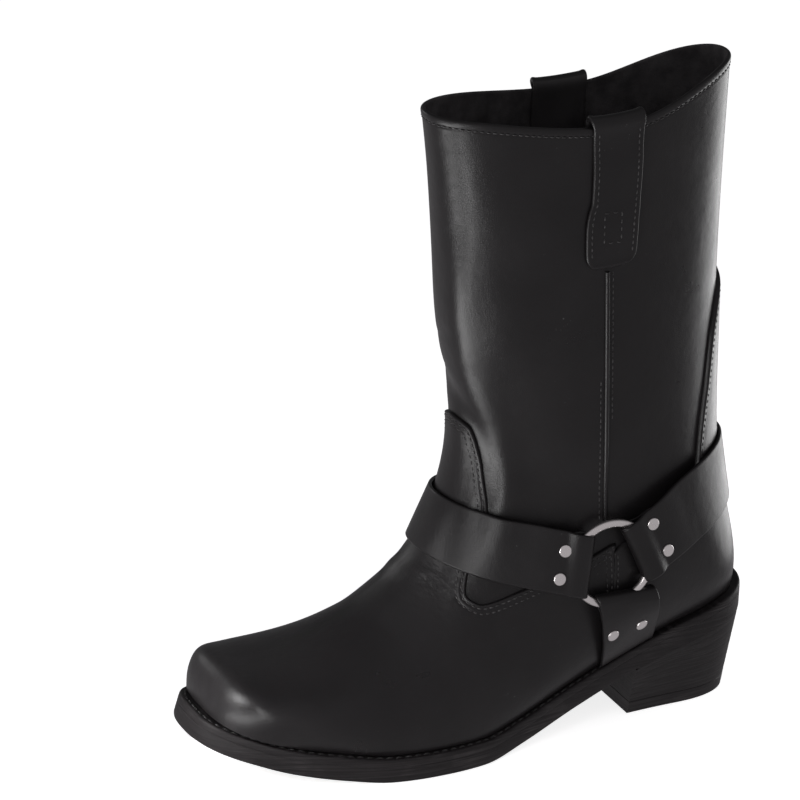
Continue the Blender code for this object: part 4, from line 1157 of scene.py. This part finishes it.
def build_pull_loop(side, word):
    """Band from outside the collar, bowed over its edge and down inside, with bound edges."""
    knots = np.stack([LOOP["rise"], LOOP["out"]], -1)
    path = smooth_line(knots, LOOP_PATH_STEPS)
    length = line_length(path)
    at_knots = np.array([length[((path - knot) ** 2).sum(1).argmin()] for knot in knots])
    at = length[-1] * np.linspace(0, 1, LOOP_ALONG)
    rise, out = read_line(at, length, path).T
    half, lean = (level_spline(at_knots, LOOP[name])(at) for name in ("half", "lean"))
    across = across_places(2 * LOOP_HALF) / LOOP_HALF - 1
    u, v = at_side(LOOP_X + across * LOOP_HALF, np.full(across.shape, COLLAR_NEAR_Z), side)
    edge = on_last(u, collar(u))[:, 2]
    x = LOOP_X + lean[:, None] + across * half[:, None]
    u, v = at_side(x, edge + rise[:, None], side)
    sheet = on_last(u, v, np.broadcast_to(out[:, None], x.shape))
    strip = band(sheet, LOOP_THICK / 2, LOOP_BINDING)
    inside = np.repeat(at[:-1] > at_knots[LOOP_TOP], sheet.shape[1] - 1)
    kinds = np.concatenate([inside, inside])
    name = "pull_loop_" + word
    new_piece("boot_" + name, strip, (strap_leather, loop_back), (name,), kinds)
    outside = np.flatnonzero(at < at_knots[LOOP_BEND])[LOOP_STITCH_SKIP:]
    normals = unit(read_grid(last_normals, u, v))
    runs = []
    for edge_side in (1, -1):
        line = edge_side * (1 - LOOP_STITCH / LOOP_HALF)
        points, square = (
            np.array([read_line(line, across, one) for one in grid[outside]]) for grid in (sheet, normals)
        )
        runs.append(stitch_run(points + square * LOOP_THICK / 2, square, FINE_STITCH))
    (x_low, z_low), (x_high, z_high) = BOX_STITCH
    corners = ((x_low, z_low), (x_high, z_low), (x_high, z_high), (x_low, z_high), (x_low, z_low))
    for (xa, za), (xb, zb) in zip(corners, corners[1:]):
        u, v = at_side(np.linspace(xa, xb, BOX_STEPS), np.linspace(za, zb, BOX_STEPS), side)
        runs.append(stitch_row(u, v, LOOP_OUT + LOOP_THICK / 2, FINE_STITCH))
    return runs


def build_piping(side, word):
    """Rolled bead down the side seam, stitched on one side above and on the other below."""
    share = np.linspace(0, 1, PIPING_STEPS)
    x, z = (top + share * (low - top) for top, low in zip(PIPING_TOP, PIPING_LOW))
    u, v = at_side(x, z, side)
    points, normals, inward = edge_path(u, v, 0.0)
    turn = np.linspace(-PIPING_WRAP, np.pi + PIPING_WRAP, PIPING_TURNS)
    bead = (
        points[:, None] + PIPING_HALF * np.cos(turn)[:, None] * inward[:, None]
        + PIPING_RISE * np.sin(turn)[:, None] * normals[:, None]
    )
    name = "side_piping_" + word
    new_piece("boot_" + name, sheet_of(bead), (strap_leather,), (name,))
    runs = []
    for way, first, last in PIPING_STITCH_SPANS:
        line_u, line_v = at_side(x[first:last] - way * PIPING_STITCH, z[first:last], side)
        runs.append(stitch_row(line_u, line_v, 0.0, FINE_STITCH))
    return runs


def sole_loop(t, inset, height):
    """Closed line round the sole, moved inwards and raised over its underside."""
    edges = [inset_edge(t, side, inset + toe_flare(t, height)) for side, _ in SIDES]
    loop = np.concatenate([edges[0], edges[1][::-1][1:]])
    return np.concatenate([loop, (sole_under(loop[:, 0]) + height)[:, None]], 1)


def halves_of(loop):
    """Left and right half of a closed line round the sole, both from its front."""
    middle = len(loop) // 2
    return loop[: middle + 1], loop[middle:][::-1]


def build_sole():
    """Outsole with a rounded edge, and the welt on it with its stitch channel."""
    before_heel = EDGE_T < HEEL_BREAST_T
    rings = np.array([sole_loop(EDGE_T, inset * before_heel, height) for inset, height in OUTSOLE_PROFILE])
    share = np.linspace(0, 1, SOLE_ACROSS)[:, None, None]
    under, top = (sheet_of(between(*halves_of(ring), share)) for ring in (rings[-1], rings[0]))
    outsole = joined(sheet_of(rings), under, top)
    new_piece("boot_outsole", outsole, (sole_rubber,), ("outsole",), sharp=SHARP)
    rings = np.array([sole_loop(EDGE_T, inset, height) for inset, height in WELT_PROFILE])
    new_piece("boot_welt", sheet_of(rings), (welt_leather,), ("welt",), sharp=SHARP)
    t = EDGE_T[EDGE_T < HEEL_BREAST_T + WELT_STITCH_PAST]
    runs = []
    for side, _ in SIDES:
        line = inset_edge(t, side, WELT_STITCH_IN + toe_flare(t, WELT_STITCH_Z))
        points = np.concatenate([line, (sole_under(line[:, 0]) + WELT_STITCH_Z)[:, None]], 1)
        runs.append(stitch_run(points, np.broadcast_to((0.0, 0.0, 1.0), points.shape), WELT_STITCH))
    return runs


def heel_ring(drop, height, grow=0.0):
    """Edge of the heel, round its back from one end of its front face to the other."""
    t = np.linspace(HEEL_BREAST_T, HEEL_BACK, HEEL_STEPS)
    pair = []
    for side, _ in SIDES:
        edge = sole_edge(t, side)
        breast = edge[0, 0]
        x = breast + (edge[:, 0] - breast) * (1 - drop * HEEL_BACK_TAPER / breast)
        y = edge[:, 1] * (1 - drop * HEEL_SIDE_TAPER / HEEL_HALF)
        inward = inset_edge(t, side, np.ones_like(t)) - edge
        pair.append(np.stack([x, y, height(edge[:, 0])], -1) + np.pad(inward, ((0, 0), (0, 1))) * -grow)
    return np.concatenate([pair[0], pair[1][::-1][1:]])


def heel_body(levels):
    """Points and quads of a heel piece from its rings, with its front face, top and underside."""
    rings = np.array(levels)
    share = np.linspace(0, 1, HEEL_ACROSS)[:, None, None]
    ends = [sheet_of(between(*halves_of(ring), share)) for ring in (rings[0], rings[-1])]
    return joined(sheet_of(rings), sheet_of(between(rings[:, 0], rings[:, -1], share)), *ends)


def build_heel():
    """Stacked heel block with slightly proud layers, and its rubber top lift."""
    low = HEEL_LIFT + SEAT_GAP
    lift_share = 1 - HEEL_LIFT / sole_under(SOLE_BACK)
    levels = []
    for share in np.linspace(0, 1, HEEL_LEVELS):
        wave = -HEEL_LAYER_DEPTH * bump(((share * HEEL_LAYERS) % 1 - 0.5) / HEEL_LAYER_WIDTH)
        levels.append(heel_ring(
            share * lift_share, lambda x, s=share: (sole_under(x) - HEEL_SEAM) * (1 - s) + low * s, wave,
        ))
    new_piece("boot_heel_block", heel_body(levels), (heel_stack,), ("heel_block",), sharp=SHARP)
    levels = []
    for share, grow in LIFT_PROFILE:
        drop = lift_share + (1 - lift_share) * share
        levels.append(heel_ring(drop, lambda x, s=share: np.full_like(x, HEEL_LIFT * (1 - s)), grow))
    new_piece("boot_heel_lift", heel_body(levels), (sole_rubber,), ("heel_lift",), sharp=SHARP)


def build_insole():
    """Board inside the boot, dished along its middle."""
    t = EDGE_T[EDGE_T > 0]
    halves = [inset_edge(t, side, margin(t) + INSOLE_INSET) for side, _ in SIDES]
    share = np.linspace(0, 1, INSOLE_ACROSS)[:, None, None]
    flat = between(*halves, share)
    dish = INSOLE_DISH * (1 - 4 * (share - 0.5) ** 2)[..., 0] * np.ones(len(t))
    z = welt_top(flat[..., 0]) + INSOLE_RISE - dish
    board = sheet_of(np.concatenate([flat, z[..., None]], -1))
    new_piece("boot_insole", board, (insole_board,), ("insole",))


def new_material(name, colour, roughness, more=()):
    """A material, its node tree, its shader and the place on the boot that its textures read."""
    made = bpy.data.materials.new(name)
    made.use_nodes = True
    tree = made.node_tree
    shader = tree.nodes["Principled BSDF"]
    for socket, value in (("Base Color", (*colour, 1.0)), ("Roughness", roughness), *more):
        shader.inputs[socket].default_value = value
    return made, tree, shader, tree.nodes.new("ShaderNodeTexCoord").outputs["Object"]


def add(tree, kind, **values):
    """A texture or maths node with some of its inputs set."""
    node = tree.nodes.new("ShaderNode" + kind)
    for name, value in values.items():
        node.inputs[name.replace("_", " ").title()].default_value = value
    return node


def ranged(tree, value, span, to):
    """A value taken from one span to another, and held at its ends."""
    node = add(tree, "MapRange", from_min=span[0], from_max=span[1], to_min=to[0], to_max=to[1])
    tree.links.new(value, node.inputs["Value"])
    return node.outputs["Result"]


def cloud(tree, place, scale, detail, span=MIDDLE, to=(0.0, 1.0)):
    """Cloudy value over the boot."""
    node = add(tree, "TexNoise", scale=scale, detail=detail)
    tree.links.new(place, node.inputs["Vector"])
    return ranged(tree, node.outputs["Fac"], span, to)


def combined(tree, operation, first, second):
    """Two values, or a value and a number, put together."""
    node = tree.nodes.new("ShaderNodeMath")
    node.operation = operation
    for socket, value in zip(node.inputs, (first, second)):
        if isinstance(value, float):
            socket.default_value = value
        else:
            tree.links.new(value, socket)
    return node.outputs["Value"]


def blended(tree, share, first, second):
    """Colour between two, by a share; the first may come from another node."""
    node = add(tree, "MixRGB", color2=(*second, 1.0))
    if isinstance(first, tuple):
        node.inputs["Color1"].default_value = (*first, 1.0)
    else:
        tree.links.new(first, node.inputs["Color1"])
    tree.links.new(share, node.inputs["Fac"])
    return node.outputs["Color"]


def relief(tree, place, scale, detail, size, strength):
    """Cloudy relief, as one row of the heights that raised() takes."""
    return cloud(tree, place, scale, detail), size, strength


def raised(tree, shader, heights):
    """Fine relief: heights with their size in metres, one over the other."""
    normal = None
    for height, size, strength in heights:
        node = add(tree, "Bump", strength=strength, distance=size)
        tree.links.new(height, node.inputs["Height"])
        if normal is not None:
            tree.links.new(normal, node.inputs["Normal"])
        normal = node.outputs["Normal"]
    tree.links.new(normal, shader.inputs["Normal"])


def stretched(tree, place, scale):
    """Place scaled apart along each axis, for streaks."""
    node = tree.nodes.new("ShaderNodeMapping")
    node.inputs["Scale"].default_value = scale
    tree.links.new(place, node.inputs["Vector"])
    return node.outputs["Vector"]


def grain(tree, place):
    """Flat cells of leather grain with fine valleys between them."""
    node = add(tree, "TexVoronoi", scale=GRAIN_SCALE)
    node.feature = "DISTANCE_TO_EDGE"
    tree.links.new(place, node.inputs["Vector"])
    return ranged(tree, node.outputs["Distance"], (0.0, GRAIN_VALLEY), (0.0, 1.0))


def near_place(tree, place, x, y, z, reach):
    """1 at a place on the boot, falling to 0 at a distance."""
    node = tree.nodes.new("ShaderNodeVectorMath")
    node.operation = "DISTANCE"
    tree.links.new(place, node.inputs[0])
    node.inputs[1].default_value = to_metres((x, y, z))
    return ranged(tree, node.outputs["Value"], (0.0, reach * MM), (1.0, 0.0))


def leather_material(name, colour, rough, coat, wrinkles):
    """Smooth black leather: fine grain, soft waves, uneven gloss and a few specks of dust."""
    made, tree, shader, place = new_material(name, colour, sum(rough) / 2, (
        ("Specular IOR Level", LEATHER_SHINE), ("Coat Weight", coat), ("Coat Roughness", COAT_ROUGH),
    ))
    dust = combined(
        tree, "MULTIPLY", cloud(tree, place, *DUST_SPECKS), cloud(tree, place, *DUST_PATCHES)
    )
    tone = blended(tree, cloud(tree, place, *WORN_PATCHES), colour, LEATHER_WORN)
    tree.links.new(blended(tree, dust, tone, DUST), shader.inputs["Base Color"])
    tree.links.new(cloud(tree, place, *GLOSS_PATCHES, rough), shader.inputs["Roughness"])
    wrinkle = combined(
        tree, "MULTIPLY",
        cloud(tree, stretched(tree, place, WRINKLE_SCALE), *WRINKLE_PATCHES),
        near_place(tree, place, *WRINKLE_PLACE),
    )
    raised(tree, shader, (
        relief(tree, place, *LEATHER_WAVES),
        (wrinkle, wrinkles, WRINKLE_STRENGTH),
        (grain(tree, place), *GRAIN_RELIEF),
        relief(tree, place, *LEATHER_PORES),
    ))
    return made


def toned_material(name, colour, tones, rough, patches, reliefs=(), more=()):
    """A finish that drifts between two tones, with fine relief where some is given."""
    made, tree, shader, place = new_material(name, colour, rough, more)
    tree.links.new(blended(tree, cloud(tree, place, *patches), *tones), shader.inputs["Base Color"])
    if reliefs:
        raised(tree, shader, [relief(tree, place, *row) for row in reliefs])
    return made


def edge_material(name, colour, light):
    """Inked sole edge: faint level scratches and scuffs."""
    made, tree, shader, place = new_material(
        name, colour, sum(EDGE_ROUGH) / 2, (("Specular IOR Level", EDGE_SHINE),)
    )
    lines = cloud(tree, stretched(tree, place, SCRATCH_SCALE), *SCRATCH_PATCHES)
    scuff = cloud(tree, place, *SCUFF_PATCHES)
    worn = combined(tree, "MULTIPLY", lines, combined(tree, "ADD", scuff, SCRATCH_LEAST))
    tree.links.new(blended(tree, worn, colour, light), shader.inputs["Base Color"])
    tree.links.new(ranged(tree, worn, (0.0, 1.0), EDGE_ROUGH), shader.inputs["Roughness"])
    raised(tree, shader, (relief(tree, place, *EDGE_RELIEF), (lines, *SCRATCH_RELIEF)))
    return made


def nickel_material():
    """Polished nickel plate, a little uneven."""
    made, tree, shader, place = new_material("nickel", NICKEL, sum(NICKEL_ROUGH) / 2, (("Metallic", 1.0),))
    tree.links.new(cloud(tree, place, *NICKEL_PATCHES, NICKEL_ROUGH), shader.inputs["Roughness"])
    raised(tree, shader, (relief(tree, place, *NICKEL_RELIEF),))
    return made


def build_camera():
    """Camera at the photograph's angle, with a long lens."""
    look = -np.array([np.cos(YAW) * np.cos(PITCH), np.sin(YAW) * np.cos(PITCH), np.sin(PITCH)])
    right = unit(np.cross(look, (0.0, 0.0, 1.0)))
    up = np.cross(right, look)
    level, tipped = np.cos(ROLL), np.sin(ROLL)
    place = np.eye(4)
    place[:3, :3] = np.stack([level * right + tipped * up, level * up - tipped * right, -look], 1)
    place[:3, 3] = to_metres(CAMERA)
    data = bpy.data.cameras.new("camera")
    data.sensor_width = SENSOR
    data.lens = LENS
    data.shift_x, data.shift_y = SHIFT
    camera = bpy.data.objects.new("camera", data)
    camera.matrix_world = Matrix(place.tolist())
    bpy.context.scene.collection.objects.link(camera)
    bpy.context.scene.camera = camera


def build_floor():
    """Pale floor that glows to white and isn't mirrored in the leather."""
    front, back, half = FLOOR_REACH
    ahead, aside = np.array([[np.cos(YAW), np.sin(YAW), 0.0], [-np.sin(YAW), np.cos(YAW), 0.0]])
    corners = [
        FLOOR_MIDDLE + ahead * along + aside * across
        for along, across in ((front, -half), (front, half), (-back, half), (-back, -half))
    ]
    mesh = bpy.data.meshes.new("floor")
    mesh.from_pydata(to_metres(corners).tolist(), [], [(0, 1, 2, 3)])
    white = FLOOR_TONES[0]
    mesh.materials.append(toned_material("floor", white, FLOOR_TONES, FLOOR_ROUGH, FLOOR_PATCHES, more=(
        ("Specular IOR Level", FLOOR_SHINE),
        ("Emission Color", (*white, 1.0)),
        ("Emission Strength", FLOOR_GLOW),
    )))
    floor = bpy.data.objects.new("floor", mesh)
    bpy.context.scene.collection.objects.link(floor)
    floor.visible_glossy = False


def build_lights():
    """Soft cards, each placed for one highlight, in a grey room that is dimmer to one side."""
    for x, y, z, *aim, width, height, radiance, spread in zip(*LIGHTS.values()):
        place = np.array((x, y, z))
        data = bpy.data.lights.new("soft_card", "AREA")
        data.shape = "RECTANGLE"
        data.size, data.size_y = width * MM, height * MM
        data.energy = radiance * np.pi * width * height * MM**2
        data.spread = np.radians(spread)
        light = bpy.data.objects.new("soft_card", data)
        light.location = to_metres(place)
        light.rotation_euler = Vector(aim - place).to_track_quat("-Z", "Y").to_euler()
        light.visible_camera = False
        bpy.context.scene.collection.objects.link(light)
    world = bpy.data.worlds.new("room")
    world.use_nodes = True
    tree = world.node_tree
    towards = add(tree, "VectorMath")
    towards.operation = "DOT_PRODUCT"
    towards.inputs[1].default_value = DARK_TOWARDS
    tree.links.new(add(tree, "TexCoord").outputs["Generated"], towards.inputs[0])
    shade = ranged(tree, towards.outputs["Value"], DARK_SPAN, (0.0, 1.0))
    tree.links.new(blended(tree, shade, WORLD_GREY, WORLD_DARK), tree.nodes["Background"].inputs["Color"])
    bpy.context.scene.world = world
    bpy.context.scene.view_settings.view_transform = "Standard"


leather = leather_material("upper_leather", LEATHER_BLACK, LEATHER_ROUGH, LEATHER_COAT, WRINKLES)
strap_leather = leather_material("strap_leather", LEATHER_BLACK, STRAP_ROUGH, STRAP_COAT, 0.0)
loop_back = leather_material("loop_back", LOOP_BACK, LOOP_BACK_ROUGH, 0.0, 0.0)
lining = toned_material(
    "lining", LOOP_BACK, LINING_TONES, LINING_ROUGH, LINING_PATCHES, (LINING_RELIEF,),
    (("Specular IOR Level", LINING_SHINE),),
)
thread, welt_thread = (
    toned_material(name, dark, (dark, light), THREAD_ROUGH, THREAD_PATCHES, (THREAD_RELIEF,))
    for name, dark, light in (("thread", THREAD, THREAD_LIGHT), ("welt_thread", WELT_THREAD, THREAD))
)
sole_rubber = edge_material("sole_rubber", *INK_TONES)
welt_leather = edge_material("welt_leather", *INK_TONES)
heel_stack = edge_material("heel_stack", *STACK_TONES)
insole_board = toned_material("insole_board", BOARD, BOARD_TONES, BOARD_ROUGH, BOARD_PATCHES)
nickel = nickel_material()

last_points, last_normals = last_grid()
ring_frames = {side: ring_frame(side) for side, _ in SIDES}

fine_runs = [build_upper(), *build_vamp(), *build_counter()]
sheets = {
    "strap_front": build_strap("strap_front", FRONT_STRAP, FRONT_FOLD_X, FRONT_TURN_X, 0.0),
    "strap_back": build_strap("strap_back", BACK_STRAP, BACK_FOLD_X, BACK_TURN_X, 1.0),
    "sole_strap": {side: build_sole_strap(side, word) for side, word in SIDES},
}
for side, word in SIDES:
    build_ring(side, word)
    caps = [rivet_cap(sheets[strap][side], x, z) for strap, x, z in RIVETS]
    nodes = [f"rivet_{word}_{number}" for number in range(1, len(RIVETS) + 1)]
    new_piece("boot_rivets_" + word, joined(*caps), (nickel,), nodes)
    fine_runs += build_pull_loop(side, word)
    fine_runs += build_piping(side, word)
new_piece("boot_stitches", joined(*fine_runs), (thread,))
new_piece("boot_welt_stitches", joined(*build_sole()), (welt_thread,))
build_heel()
build_insole()
build_camera()
build_floor()
build_lights()
